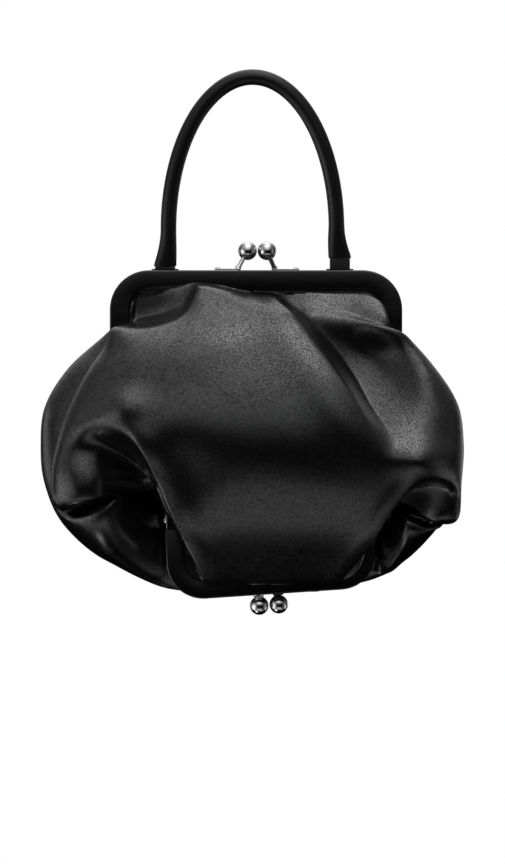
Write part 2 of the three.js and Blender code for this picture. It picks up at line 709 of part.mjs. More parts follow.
// Ball, stem and foot of one knob, built standing on a frame's outer edge and then turned into place
function knobGeometry(knob, ballHeight) {
  const middle = knob.face * (HALF_INNER_FACE + HALF_OUTER_FACE) / 2;
  const centre = new THREE.Vector3(knob.ball, knob.face * BALL_OFFSET, ballHeight);
  const base = new THREE.Vector3(knob.stem, middle, GAP + FOOT_HEIGHT);
  const ball = new THREE.SphereGeometry(BALL_RADIUS, 28, 18);
  ball.translate(...centre.toArray());
  const [footFrom, footTo] = knob.foot;
  const foot = new THREE.BoxGeometry(footTo - footFrom, FOOT_DEPTH, FOOT_HEIGHT);
  foot.translate((footFrom + footTo) / 2, middle, GAP + FOOT_HEIGHT / 2);
  const far = Math.abs(footFrom - knob.stem) > Math.abs(footTo - knob.stem) ? footFrom + 2.2 : footTo - 2.2;
  const rivet = new THREE.SphereGeometry(FOOT_RIVET_RADIUS, 16, 10);
  rivet.scale(1, 1, 0.6);
  rivet.translate(far, middle, GAP + FOOT_HEIGHT + 0.2);
  return joined([ball, rod(base, centre, STEM_RADIUS, 16), foot, rivet]);
}

function addKnobs() {
  for (const knob of TOP_BALLS) {
    const mesh = addMesh(knob.name, knobGeometry(knob, TOP_BALL_HEIGHT), DARK_NICKEL);
    mesh.position.set(0, 0, TOP_FRAME.z);
  }
  for (const knob of BOTTOM_BALLS) {
    const geometry = knobGeometry(knob, BOTTOM_BALL_HEIGHT);
    geometry.scale(1, 1, -1);
    const mesh = addMesh(knob.name, facingOut(geometry), DARK_NICKEL);
    mesh.position.set(BOTTOM_FRAME.x, 0, BOTTOM_FRAME.z);
    mesh.rotation.y = -BOTTOM_FRAME.tilt;
  }
}

// Plate and rivet of one hinge, on the arm ends of a frame
function addHinge(name, frame, hand) {
  const plate = new THREE.BoxGeometry(HINGE_PLATE_THICKNESS, HINGE_PLATE_DEPTH, HINGE_PLATE_HEIGHT);
  const rivet = new THREE.SphereGeometry(RIVET_RADIUS, 20, 12);
  rivet.scale(RIVET_HEIGHT / RIVET_RADIUS, 1, 1);
  rivet.translate(hand * HINGE_PLATE_THICKNESS / 2, 0, -frame.side * HINGE_PLATE_HEIGHT * 0.2);
  const across = hand * (frame.half - HINGE_INSET - HINGE_PLATE_THICKNESS / 2);
  const place = framePlace(frame, across, frame.arm + GAP + HINGE_PLATE_HEIGHT / 2);
  const mesh = addMesh(name, joined([plate, rivet]), STEEL);
  mesh.position.set(place.x, 0, place.z);
  mesh.rotation.y = -frame.tilt;
}

function addHinges() {
  addHinge('top_hinge_left', TOP_FRAME, -1);
  addHinge('top_hinge_right', TOP_FRAME, 1);
  addHinge('bottom_hinge_left', BOTTOM_FRAME, -1);
  addHinge('bottom_hinge_right', BOTTOM_FRAME, 1);
}

// Rolled handle: round along the arch, flattened and wider at both ends
function addHandle() {
  const archMiddle = HANDLE_RADIUS - HANDLE_RISE;
  const legLean = (HALF_INNER_FACE + HALF_OUTER_FACE) / 2;
  const stations = [];
  const legSteps = 5;
  const archSteps = 36;
  const addLeg = (hand, end, isDown) => {
    for (let step = 0; step < legSteps; step += 1) {
      const share = isDown ? (step + 1) / legSteps : 1 - step / legSteps;
      stations.push({
        x: hand * (HANDLE_HALF_SPAN + HANDLE_LEG_SPREAD * share * share),
        z: archMiddle + (end - archMiddle) * share,
        slope: 0,
      });
    }
  };
  addLeg(-1, HANDLE_LEFT_END, false);
  for (let step = 0; step <= archSteps; step += 1) {
    const turn = Math.PI * (1 - step / archSteps);
    stations.push({
      x: HANDLE_HALF_SPAN * Math.cos(turn),
      z: archMiddle + HANDLE_RISE * Math.sin(turn),
      slope: Math.atan2(-HANDLE_RISE * Math.cos(turn), HANDLE_HALF_SPAN * Math.sin(turn)),
    });
  }
  addLeg(1, HANDLE_RIGHT_END, true);
  const sides = 16;
  const rings = stations.map((station, k) => {
    const end = k < stations.length / 2 ? HANDLE_LEFT_END : HANDLE_RIGHT_END;
    const flare = Math.max(1 - (station.z - end) / HANDLE_FLARE_LENGTH, 0) ** HANDLE_FLARE_POWER;
    const halfWidth = HANDLE_RADIUS + (HANDLE_FLARE_HALF_WIDTH - HANDLE_RADIUS) * flare;
    const halfThickness = HANDLE_RADIUS + (HANDLE_FLARE_HALF_THICKNESS - HANDLE_RADIUS) * flare;
    const isLeg = station.z <= archMiddle;
    const outX = isLeg ? Math.sign(station.x) : -Math.sin(station.slope);
    const outZ = isLeg ? 0 : Math.cos(station.slope);
    const lean = legLean * smoothStep(HANDLE_RADIUS, HANDLE_LEFT_END, station.z);
    const ring = [];
    for (let side = 0; side < sides; side += 1) {
      const turn = 2 * Math.PI * side / sides;
      const out = halfWidth * Math.cos(turn);
      ring.push([station.x + outX * out, lean + halfThickness * Math.sin(turn), station.z + outZ * out]);
    }
    return ring;
  });
  const outline = [];
  for (let side = 0; side < sides; side += 1) {
    const turn = 2 * Math.PI * side / sides;
    outline.push(new THREE.Vector2(Math.cos(turn), Math.sin(turn)));
  }
  addMesh('handle', ringSolid(rings, outline), HANDLE_LEATHER);
}

// Upside down T: a thin foot on the frame with a tongue up to the handle's end
function addTab(name, middle, top) {
  const bottom = TOP_FRAME.z + GAP;
  const profile = new THREE.Shape();
  profile.moveTo(-TAB_FOOT_WIDTH / 2, bottom);
  profile.lineTo(TAB_FOOT_WIDTH / 2, bottom);
  profile.lineTo(TAB_FOOT_WIDTH / 2, bottom + TAB_FOOT_HEIGHT);
  profile.lineTo(TAB_TONGUE_WIDTH / 2, bottom + TAB_FOOT_HEIGHT);
  profile.lineTo(TAB_TONGUE_WIDTH / 2, top);
  profile.lineTo(-TAB_TONGUE_WIDTH / 2, top);
  profile.lineTo(-TAB_TONGUE_WIDTH / 2, bottom + TAB_FOOT_HEIGHT);
  profile.lineTo(-TAB_FOOT_WIDTH / 2, bottom + TAB_FOOT_HEIGHT);
  const geometry = new THREE.ExtrudeGeometry(profile, { depth: TAB_DEPTH, bevelEnabled: false });
  geometry.translate(0, 0, -TAB_DEPTH / 2);
  geometry.rotateX(Math.PI / 2);
  const mesh = addMesh(name, geometry, HANDLE_LEATHER);
  mesh.position.set(middle, (HALF_INNER_FACE + HALF_OUTER_FACE) / 2, 0);
}

function addTabs() {
  const legEnd = HANDLE_HALF_SPAN + HANDLE_LEG_SPREAD;
  addTab('handle_tab_left', -legEnd, HANDLE_LEFT_END - GAP);
  addTab('handle_tab_right', legEnd, HANDLE_RIGHT_END - GAP);
}

addHandle();
addTabs();
addFrames();
addKnobs();
addHinges();
addLeather();

export default bag;
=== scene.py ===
import math

import bpy
import numpy as np
from mathutils import Matrix, Vector


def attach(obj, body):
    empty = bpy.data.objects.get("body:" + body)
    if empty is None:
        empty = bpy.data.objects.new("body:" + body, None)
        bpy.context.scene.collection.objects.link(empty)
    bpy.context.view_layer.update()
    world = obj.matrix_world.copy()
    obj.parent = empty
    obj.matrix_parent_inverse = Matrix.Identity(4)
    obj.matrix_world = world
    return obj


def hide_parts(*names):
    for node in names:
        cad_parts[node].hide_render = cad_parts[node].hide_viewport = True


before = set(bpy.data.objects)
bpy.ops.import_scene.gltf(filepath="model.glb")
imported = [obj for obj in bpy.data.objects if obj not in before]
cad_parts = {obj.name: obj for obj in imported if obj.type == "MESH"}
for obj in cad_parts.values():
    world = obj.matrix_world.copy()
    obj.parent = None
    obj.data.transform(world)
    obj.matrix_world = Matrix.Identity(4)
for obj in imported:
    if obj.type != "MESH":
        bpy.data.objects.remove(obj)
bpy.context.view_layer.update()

# All sizes are in millimetres, and MM turns them into the metres of the frame
MM = 0.001

# Camera and floor: the photograph's height in pixels, and its scale at the middle of the bag
PHOTO_HEIGHT = 864
MM_PER_PIXEL = 0.685
CAMERA_DISTANCE = 3500
CAMERA_HEIGHT = -237.7
SENSOR = 36
FLOOR_SIZE = 14000
FLOOR_LEVEL = -620

# Frame halves: y of their faces, how they are rounded, and for each frame the x of its middle, the z of its
# outer edge, its tilt, half width, arms, band and corners, and 1 where its arms hang or -1 where they stand
HALF_INNER_FACE = 0.3
HALF_OUTER_FACE = 6.9
HALF_MIDDLE = (HALF_INNER_FACE + HALF_OUTER_FACE) / 2
BAR_ROUNDING = 1.5
BAR_EDGE_ANGLE = 40
CORNER_STEPS = 14
TOP_FRAME = {
    "x": 2.4, "z": -127, "tilt": 0, "half": 100, "arm": 45, "band": 13.5, "radius": 27, "side": 1,
}
BOTTOM_FRAME = {
    "x": 14.5, "z": -348.6, "tilt": math.radians(3.8), "half": 71.7, "arm": 49, "band": 12.5,
    "radius": 25, "side": -1,
}

# Kiss locks
BALL_RADIUS = 6.4
BALL_SEGMENTS = 56
STEM_RADIUS = 1.55
STEM_SIDES = 28
TOP_BALL_HEIGHT = 13.4
BOTTOM_BALL_HEIGHT = 7.3
BALL_OFFSET = 0.6
FOOT_HEIGHT = 0.9
FOOT_DEPTH = 4.4
FOOT_ROUNDING = 0.25
FOOT_RIVET_RADIUS = 1.7
FOOT_RIVET_FLATNESS = 0.6
FOOT_RIVET_INSET = 2.2
FOOT_RIVET_LIFT = 0.2
FOOT_RIVET_SEGMENTS = 28

# Stem: share of its length from the foot, and its radius there
STEM_PROFILE = [(0, 2.1), (0.08, 2), (0.2, STEM_RADIUS), (1, STEM_RADIUS)]

# Each knob: which half it stands on, x of its ball and of its stem, and the ends of its foot plate,
# measured from x 0 at the top and from the frame's middle at the bottom
TOP_BALLS = [
    {"name": "top_knob_front", "face": -1, "ball": -3.4, "stem": -10.2, "foot": (-26, -8.2)},
    {"name": "top_knob_back", "face": 1, "ball": 9.9, "stem": 15.4, "foot": (13.4, 32)},
]
BOTTOM_BALLS = [
    {"name": "bottom_knob_front", "face": -1, "ball": -10.4, "stem": -10.4, "foot": (-14, -6.8)},
    {"name": "bottom_knob_back", "face": 1, "ball": 3, "stem": 3, "foot": (-0.6, 6.6)},
]

# Hinges
HINGE_PLATE = (1.2, 8.4, 9)
HINGE_INSET = 1.4
HINGE_ROUNDING = 0.35
RIVET_RADIUS = 2.6
RIVET_HEIGHT = 2.2
RIVET_SHIFT = 0.2
RIVET_SEGMENTS = 32

# Handle
HANDLE_HALF_SPAN = 57.6
HANDLE_RISE = 104
HANDLE_RADIUS = 5.4
HANDLE_LEG_SPREAD = 2.3
HANDLE_FLARE_HALF_WIDTH = 7.8
HANDLE_FLARE_HALF_THICKNESS = 3.4
HANDLE_FLARE_LENGTH = 24
HANDLE_FLARE_POWER = 1.5
HANDLE_LEFT_END = -124
HANDLE_RIGHT_END = -118.4
HANDLE_ARCH_STEPS = 96
HANDLE_LEG_STEPS = 14
HANDLE_SIDES = 40
TAB_FOOT_WIDTH = 18.5
TAB_FOOT_HEIGHT = 0.8
TAB_TONGUE_WIDTH = 13.8
TAB_DEPTH = 5
TAB_ROUNDING = 0.15

# Gap left between pieces, the thin one at the handle's ends, and how near two corners are made one
GAP = 0.3
CONTACT = 0.02
MERGE_DISTANCE = 0.002

# Edges sharper than these, in degrees, stay sharp in the shading
PIECE_EDGE = 35
HANDLE_EDGE = 50
PANEL_EDGE = 75

# Leather panels: their wall, and how far their outer skin stands from y 0 in the grooves and over the bars
WALL = 1.6
SKIN_AT_GROOVE = 4.4
SKIN_OVER_FRAME = 9.3

# Room kept round the bars, and the part of a frame's mouth in which the guard of its bar fades
BAR_CLEARANCE = 1.8
COVER_FADE = (1, 6)

# Sections: turn past the widest place, fullness of the bulge, and the columns of the crest and of the hold
ROLL = math.radians(25)
BULGE_POWER = 0.9
CREST_COLUMN = 0.45
HOLD_COLUMN = 0.56

# Rows in the grooves, measured from the inner edge of the band
TUCK_STEPS = (-5, 0.2, 1.8)

# Column past which folds and pulls fade, and how far each panel stays off the seam in y and in z
HELD_AT_SEAM = 0.86
SEAM_GAP = 0.45
SEAM_LIFT = 1.4

# Side seams, a row for each section from top to bottom: x, y and z on the left and on the right
SEAMS = [
    ((-82, 0, -177), (86, 0, -177)),
    ((-90, -1, -184), (95, -1, -184)),
    ((-103, -3, -199), (111, -3, -199)),
    ((-117, -6, -222), (126, -6, -222)),
    ((-124, -9, -247), (131, -9, -247)),
    ((-127, -16, -272), (132, -16, -274)),
    ((-122, -20, -294), (127, -22, -300)),
    ((-92, -31, -281), (106, -32, -295)),
    ((-74, -2, -278), (95, -20, -284)),
    ((-43, 0, -283), (66, 0, -279)),
]

# Front panel sections: middle z, depth and column where the bend starts, then for the left side and the
# right side the crest x, the x and z of the hold past the crest, and the widest x
FRONT_SECTIONS = [
    (-147, 18, 0.45, (-36, -47, -152, -83), (14, 27, -152, 88)),
    (-161, 38, 0.3, (-46, -58, -165, -97), (29, 45, -164, 107)),
    (-183, 56, 0.1, (-60, -72, -187, -111), (47, 64, -187, 125)),
    (-212, 69, 0, (-74, -87, -216, -124), (70, 87, -216, 140)),
    (-243, 74, 0, (-82, -95, -242, -133), (94, 109, -244, 143.5)),
    (-272, 70, 0.3, (-64, -77, -262, -137), (105, 117, -267, 142)),
    (-299, 57, 0.45, (-53, -65, -272, -131), (91, 102, -286, 139)),
    (-321, 40, 0.45, (-44, -62, -278, -108), (79, 96, -292, 119)),
    (-342, 17, 0.45, (-36, -60, -280, -77), (66, 93, -283, 101)),
    (-333, 9.5, 0.42, (-33, -41, -284, -44), (57, 63, -281, 67)),
]

# Back panel sections: middle z, depth, widest x on the left and on the right, how far the row rises on
# each side, the columns where the bend towards the seam starts and ends, and the flanks' forward swell
BACK_SECTIONS = [
    (-147, 18, (-84, 89), (0, 0), (0.55, 1), 0),
    (-159, 38, (-103, 106), (0, 0), (0.4, 1), 0),
    (-181, 55, (-127, 123), (0, 0), (0.3, 1), 0),
    (-212, 67, (-143.5, 137), (0, 0), (0.25, 1), 0),
    (-243, 71, (-146.5, 141), (0, 0), (0.25, 1), 0),
    (-274, 69, (-143.5, 139), (0, 0), (0.4, 1), 0),
    (-302, 61, (-130, 128), (0, 0), (0.7, 1), 14),
    (-326, 48, (-101, 105), (0, 0), (0.72, 1), 16),
    (-348, 24, (-62, 88), (13, 18), (0.7, 0.96), 3),
    (-333, 9.5, (-44, 67), (0, 0), (0.42, 0.6), 0),
]

# Columns where the back panel's rise starts and ends, each on the left and on the right
BACK_RISE = ((0.46, 0.4), (0.76, 0.72))

# Sine of the angle at the back panel's crests, and its turn past the widest place
BACK_CREST = 0.55
BACK_ROLL = math.radians(60)

# Crest places along the groove of each frame, on the left and on the right
FRONT_TUCK = {"top": (-38, 10), "bottom": (-33, 62)}
BACK_TUCK = {"top": (-45, 48), "bottom": (-33, 62)}

# Folds of the front panel, with x, z, share of the depth lost and half width of the edge along their ways.
# The hollow lies to the right of the way
FOLDS = {
    "right_bowl": {
        "reach": 85, "fade_from": 0.2, "ridge": 0.06, "ridge_width": 15,
        "way": [(118, -272, 0, 12), (99, -252, 0, 10), (89, -240, 0.16, 6), (78, -224, 0.45, 4.5),
                (65, -202, 0.62, 5), (46, -176, 0.62, 6), (33, -160, 0.5, 6), (24, -150, 0.35, 5),
                (12, -139, 0.3, 4)],
    },
    "left_arch": {
        "reach": 46, "fade_from": 0.05, "ridge": 0.03, "ridge_width": 10,
        "way": [(-140, -256, 0, 10), (-128, -249, 0, 10), (-117, -243, 0.12, 11), (-102, -240, 0.3, 11),
                (-88, -245, 0.48, 9), (-77.5, -255, 0.6, 5), (-67, -270, 0.7, 2), (-58, -290, 0.72, 1.3),
                (-46, -316, 0.72, 1.2), (-34, -339, 0.5, 1.2)],
    },
    "right_arch": {
        "reach": 45, "fade_from": 0.05, "ridge": 0.03, "ridge_width": 6,
        "way": [(62, -339, 0.5, 1.2), (84, -311, 0.65, 1.2), (92, -296, 0.6, 1.3),
                (100, -285, 0.55, 1.5), (110, -276.5, 0.5, 2), (121, -273, 0.4, 2.5),
                (130, -274, 0.2, 3), (140, -277, 0, 4)],
    },
    "left_pocket": {
        "reach": 34, "fade_from": 0.05, "ridge": 0.1, "ridge_width": 20,
        "way": [(-32, -134, 0.3, 4), (-38, -145, 0.45, 5), (-46, -153, 0.55, 6), (-58, -160, 0.62, 5),
                (-77, -165, 0.6, 4), (-90, -167, 0.2, 3)],
    },
}

# Places where the front panel is pulled: x, z, reach across, reach up, pull across, out and up
PULLS = [
    (-36, -144, 27, 10, 0, 4, 7),
    (-68, -146, 18, 9, 0, 1, 4),
    (50, -155, 36, 17, 0, 6, 1),
    (82, -158, 16, 17, 2, 5, 0),
    (94, -164, 14, 14, 7, 7, 0),
    (106, -180, 15, 17, 2, 6, 0),
    (118, -200, 13, 18, 0, 5, 0),
    (116, -258, 20, 13, 0, 9, 0),
    (74, -190, 18, 18, 0, -1, 0),
    (-88, -219, 15, 11, 0, 6, 0),
    (-114, -285, 20, 18, 0, 8, 0),
    (-92, -169, 12, 9, -6, 5, 4),
    (-55, -266, 26, 22, 0, -6, 0),
    (0, -282, 50, 22, 0, -2, 0),
    (126, -291, 18, 12, 0, 3, -5),
    (-112, -280, 24, 12, 0, 2, -5),
    (86, -166, 16, 13, 0, 4, 0),
]

# Steps along a fold's way, the distance over which its drop is blended, and the least distance divided by
FOLD_STEPS = 120
FOLD_BLEND = 6
LEAST_DISTANCE = 1e-6

# Leather drawn under a fold: how far, at which half widths of the edge, and where it fades past the edge
TUCK_UNDER = 5
TUCK_EDGES = (1.5, 4)
TUCK_REACH = (4, 16)

# Grid of a panel: its columns, which crowd at the crests, its cuts between rows, and how often it is relaxed
PANEL_COLUMNS = 200
COLUMN_SAMPLES = 4001
CREST_CROWDING = 2.5
CREST_WIDTH = 0.08
TUCK_CUTS = 3
SECTION_CUTS = 14
RELAX_ROUNDS = 4


# Form of the leather

def smooth_step(low, high, value):
    share = np.clip((value - low) / (high - low), 0, 1)
    return share * share * (3 - 2 * share)


def frame_place(bar, across, down):
    """x and z of a place across from a frame's middle and down from its outer edge."""
    up = -bar["side"] * down
    x = bar["x"] + across * math.cos(bar["tilt"]) - up * math.sin(bar["tilt"])
    z = bar["z"] + across * math.sin(bar["tilt"]) + up * math.cos(bar["tilt"])
    return x, z


def tucked_row(bar, inset, crests, columns, face):
    """Row of a panel along a frame's groove, from the left arm's end to the right arm's end."""
    radius = bar["radius"] - inset
    flat = bar["half"] - inset - radius
    bow = radius * math.pi / 2
    length = flat + bow + bar["arm"] - inset - radius
    low = (crests[0] - bar["x"]) / length
    high = (crests[1] - bar["x"]) / length
    share = np.interp(columns, [-1, -CREST_COLUMN, CREST_COLUMN, 1], [-1, low, high, 1])
    run = np.abs(share) * length
    turn = np.clip((run - flat) / radius, 0, math.pi / 2)
    across = np.minimum(run, flat) + radius * np.sin(turn)
    down = inset + radius * (1 - np.cos(turn)) + np.maximum(run - flat - bow, 0)
    x, z = frame_place(bar, np.sign(share) * across, down)
    return np.stack([x, np.full_like(x, face * SKIN_AT_GROOVE), z], axis=1)


def round_section(angle, limit, widest, seam_x, depth, seam_y, face):
    """x and y of places round one section, by the angle from its middle."""
    swing = np.sin(np.abs(angle))
    past = (swing - math.sin(limit)) / (1 - math.sin(limit))
    x = np.where(np.abs(angle) < math.pi / 2, widest * swing, seam_x + (widest - seam_x) * past)
    bulge = np.maximum((np.cos(angle) - math.cos(limit)) / (1 - math.cos(limit)), 0) ** BULGE_POWER
    y = (seam_y + face * SEAM_GAP) * (1 - bulge) + face * depth * bulge
    return x, y


def by_side(is_left, left, right):
    """Each value of the left side where a place lies on the left, and of the right side elsewhere."""
    return [np.where(is_left, *pair) for pair in zip(left, right)]


def front_row(section, seam, columns):
    """Row of the front panel, from the left seam to the right seam."""
    middle_z, depth, bend_from, left, right = section
    limit = math.pi / 2 + ROLL
    turns = [-limit]
    turns += [-math.asin(left[1] / left[3]), -math.asin(left[0] / left[3])]
    turns += [math.asin(right[0] / right[3]), math.asin(right[1] / right[3])]
    turns += [limit]
    knots = [-1, -HOLD_COLUMN, -CREST_COLUMN, CREST_COLUMN, HOLD_COLUMN, 1]
    angle = np.interp(columns, knots, turns)
    hold_z, widest = by_side(angle < 0, left[2:], right[2:])
    seam_x, seam_y, seam_z = by_side(angle < 0, *seam)
    x, y = round_section(angle, limit, widest, seam_x, depth, seam_y, -1)
    rise = smooth_step(bend_from, HOLD_COLUMN, np.abs(columns))
    fall = smooth_step(HOLD_COLUMN, 1, np.abs(columns))
    z = middle_z + (hold_z - middle_z) * rise + (seam_z + SEAM_LIFT - hold_z) * fall
    return np.stack([x, y, z], axis=1)


def back_row(section, seam, columns):
    """Row of the back panel, whose flanks swell forwards past their widest place."""
    middle_z, depth, widest, rise, bend, swell = section
    limit = math.pi / 2 + BACK_ROLL
    crest = math.asin(BACK_CREST)
    angle = np.interp(columns, [-1, -CREST_COLUMN, CREST_COLUMN, 1], [-limit, -crest, crest, limit])
    is_left = angle < 0
    seam_x, seam_y, seam_z = by_side(is_left, *seam)
    x, y = round_section(angle, limit, np.where(is_left, *widest), seam_x, depth, seam_y, 1)
    flank = np.clip((np.abs(angle) - math.pi / 2) / BACK_ROLL, 0, 1)
    y -= swell * np.sin(math.pi * flank)
    rise_from, rise_to = (np.where(is_left, *ends) for ends in BACK_RISE)
    z = middle_z + np.where(is_left, *rise) * smooth_step(rise_from, rise_to, np.abs(columns))
    z += (seam_z - SEAM_LIFT - z) * smooth_step(*bend, np.abs(columns))
    return np.stack([x, y, z], axis=1)


def panel_rows(face, columns):
    """Rows of one panel's outer skin from the top groove to the bottom groove."""
    tuck = FRONT_TUCK if face < 0 else BACK_TUCK
    sections = FRONT_SECTIONS if face < 0 else BACK_SECTIONS
    section_row = front_row if face < 0 else back_row
    rows = []
    for step in TUCK_STEPS:
        rows.append(tucked_row(TOP_FRAME, TOP_FRAME["band"] + step, tuck["top"], columns, face))
    for section, seam in zip(sections, SEAMS):
        rows.append(section_row(section, seam, columns))
    for step in reversed(TUCK_STEPS):
        rows.append(tucked_row(BOTTOM_FRAME, BOTTOM_FRAME["band"] + step, tuck["bottom"], columns, face))
    return np.array(rows)


def row_stops(rows):
    """Way run by the rows of a panel, on average over its columns."""
    steps = np.linalg.norm(np.diff(rows, axis=0), axis=2).mean(axis=1)
    return np.concatenate([[0], np.cumsum(steps)])


def smooth_run(values, stops, places):
    """Smooth curve through rows of values, read at places along their stops."""
    slopes = np.empty_like(values)
    spread = (slice(None),) + (None,) * (values.ndim - 1)
    slopes[1:-1] = (values[2:] - values[:-2]) / (stops[2:] - stops[:-2])[spread]
    slopes[0] = (values[1] - values[0]) / (stops[1] - stops[0])
    slopes[-1] = (values[-1] - values[-2]) / (stops[-1] - stops[-2])
    span = np.clip(np.searchsorted(stops, places, side="right") - 1, 0, len(stops) - 2)
    width = (stops[span + 1] - stops[span])[spread]
    share = ((places - stops[span]) / (stops[span + 1] - stops[span]))[spread]
    square = share * share
    cube = square * share
    start = (2 * cube - 3 * square + 1) * values[span]
    start += (cube - 2 * square + share) * width * slopes[span]
    end = (3 * square - 2 * cube) * values[span + 1]
    end += (cube - square) * width * slopes[span + 1]
    return start + end


def row_places(stops):
    """Places of the fine rows: few cuts in the grooves and many between the sections."""
    places = []
    tucked = len(TUCK_STEPS) - 1
    for span in range(len(stops) - 1):
        is_tucked = span < tucked or span >= len(stops) - 1 - tucked
        cuts = TUCK_CUTS if is_tucked else SECTION_CUTS
        places.extend(np.linspace(stops[span], stops[span + 1], cuts, endpoint=False))
    places.append(stops[-1])
    return np.array(places)


def fold_effect(fold, x, z):
    """Share of the depth left at each place beside a fold, and how far it is drawn under the edge."""
    way = np.array(fold["way"], dtype=float)
    runs = np.linalg.norm(np.diff(way[:, :2], axis=0), axis=1)
    stops = np.concatenate([[0], np.cumsum(runs)])
    steps = smooth_run(way, stops, np.linspace(0, stops[-1], FOLD_STEPS))
    heading = np.gradient(steps[:, :2], axis=0)
    gap_x = x[..., None] - steps[:, 0]
    gap_z = z[..., None] - steps[:, 1]
    away = np.hypot(gap_x, gap_z)
    near = away.argmin(axis=-1)
    nearest = away.min(axis=-1)
    near_x = x - steps[near, 0]
    near_z = z - steps[near, 1]
    is_past = near_x * heading[near, 1] - near_z * heading[near, 0] > 0
    past = np.where(is_past, nearest, -nearest)
    weight = np.exp((nearest[..., None] - away) / FOLD_BLEND)
    drop = (weight * steps[:, 2]).sum(axis=-1) / weight.sum(axis=-1)
    edge = steps[near, 3]
    fade = 1 - smooth_step(fold["fade_from"] * fold["reach"], fold["reach"], past)
    hollow = smooth_step(-edge, edge, past) * fade
    ridge = 2 * fold["ridge"] * drop * np.exp(-((past / fold["ridge_width"] + 1) ** 2))
    crisp = 1 - smooth_step(*TUCK_EDGES, edge)
    under = TUCK_UNDER * crisp * smooth_step(0, edge, past) * (1 - smooth_step(*TUCK_REACH, past))
    draw = -under / np.maximum(nearest, LEAST_DISTANCE)
    return 1 - drop * hollow + ridge, draw * near_x, draw * near_z


def bar_cover(bar, x, z):
    """1 where a place lies over a frame's bar, seen from the front, and 0 deep in the frame's mouth."""
    gap_x = x - bar["x"]
    gap_z = z - bar["z"]
    across = np.abs(gap_x * math.cos(bar["tilt"]) + gap_z * math.sin(bar["tilt"]))
    down = -bar["side"] * (gap_z * math.cos(bar["tilt"]) - gap_x * math.sin(bar["tilt"]))
    is_inside = (across < bar["half"] + BAR_CLEARANCE) & (down > -BAR_CLEARANCE)
    is_inside &= down < bar["arm"] + GAP + HINGE_PLATE[2] + BAR_CLEARANCE
    in_mouth = np.minimum(bar["half"] - across, down) - bar["band"]
    return np.where(is_inside, 1 - smooth_step(*COVER_FADE, in_mouth), 0)


def folded_skin(skin, columns, folds, face):
    """Skin with its folds sunk in, pulled and relaxed, and kept off the bars of the frames."""
    x, y, z = np.moveaxis(skin, 2, 0)
    depth = face * y
    share = np.ones_like(x)
    under_x = np.zeros_like(x)
    under_z = np.zeros_like(x)
    held = smooth_step(HELD_AT_SEAM, 1, np.abs(columns))
    for fold in folds:
        fold_share, draw_x, draw_z = fold_effect(fold, x, z)
        share *= fold_share
        under_x += draw_x * (1 - held)
        under_z += draw_z * (1 - held)
    share += (1 - share) * held
    x = x + under_x
    z = z + under_z
    sunk = SKIN_AT_GROOVE + (depth - SKIN_AT_GROOVE) * share
    depth = np.where(depth > SKIN_AT_GROOVE, sunk, depth)
    if face < 0:
        x, depth, z = pulled(x, depth, z, 1 - held)
    x, depth, z = (relaxed(values) for values in (x, depth, z))
    cover = np.maximum(bar_cover(TOP_FRAME, x, z), bar_cover(BOTTOM_FRAME, x, z))
    guard = SKIN_AT_GROOVE + (SKIN_OVER_FRAME - SKIN_AT_GROOVE) * cover
    depth = np.where(cover > 0, np.maximum(depth, guard), depth)
    tucked = TUCK_CUTS * (len(TUCK_STEPS) - 1) + 1
    folded = np.stack([x, face * depth, z], axis=2)
    folded[:tucked] = skin[:tucked]
    folded[-tucked:] = skin[-tucked:]
    return folded


def relaxed(values):
    """A grid of values after each inner one has moved towards the mean of its four neighbours."""
    for _ in range(RELAX_ROUNDS):
        beside = values[1:-1, :-2] + values[1:-1, 2:]
        around = (values[:-2, 1:-1] + values[2:, 1:-1] + beside) / 4
        values = values.copy()
        values[1:-1, 1:-1] += (around - values[1:-1, 1:-1]) / 2
    return values


def pulled(x, depth, z, loose):
    """The front panel after its pulls, each of which fades out over its reach and towards the seams."""
    for at_x, at_z, reach_x, reach_z, across, out, up in PULLS:
        share = loose * np.exp(-(((x - at_x) / reach_x) ** 2) - ((z - at_z) / reach_z) ** 2)
        x = x + across * share
        depth = depth + out * share
        z = z + up * share
    return x, depth, z


def panel_columns():
    """Columns across a panel, closer together at the crests of the folds."""
    fine = np.linspace(-1, 1, COLUMN_SAMPLES)
    pull = np.exp(-(((np.abs(fine) - CREST_COLUMN) / CREST_WIDTH) ** 2))
    run = np.cumsum(1 + CREST_CROWDING * pull)
    run = (run - run[0]) / (run[-1] - run[0])
    return np.interp(np.linspace(0, 1, PANEL_COLUMNS + 1), run, fine)


# Modelling helpers

def start_clean():
    if bpy.context.mode != "OBJECT":
        bpy.ops.object.mode_set(mode="OBJECT")
    bpy.ops.object.select_all(action="DESELECT")


def select_only(obj):
    start_clean()
    obj.select_set(True)
    bpy.context.view_layer.objects.active = obj


def apply_modifier(obj, kind, **values):
    select_only(obj)
    modifier = obj.modifiers.new(kind.lower(), kind)
    for name, value in values.items():
        setattr(modifier, name, value)
    bpy.ops.object.modifier_apply(modifier=modifier.name)


def tidy_mesh(obj):
    """Makes corners that lie on each other one, and turns all faces outwards."""
    select_only(obj)
    bpy.ops.object.mode_set(mode="EDIT")
    bpy.ops.mesh.select_all(action="SELECT")
    bpy.ops.mesh.remove_doubles(threshold=MERGE_DISTANCE * MM)
    bpy.ops.mesh.normals_make_consistent(inside=False)
    bpy.ops.object.mode_set(mode="OBJECT")


def smooth_faces(obj, degrees):
    select_only(obj)
    bpy.ops.object.shade_smooth_by_angle(angle=math.radians(degrees))


def settle(obj):
    """Puts an object's turn, place and size into its mesh."""
    select_only(obj)
    bpy.ops.object.transform_apply(location=True, rotation=True, scale=True)


def fuse(body, others):
    """Joins closed pieces into one closed piece."""
    for other in others:
        apply_modifier(body, "BOOLEAN", operation="UNION", object=other, solver="EXACT")
        bpy.data.objects.remove(other)
    return body


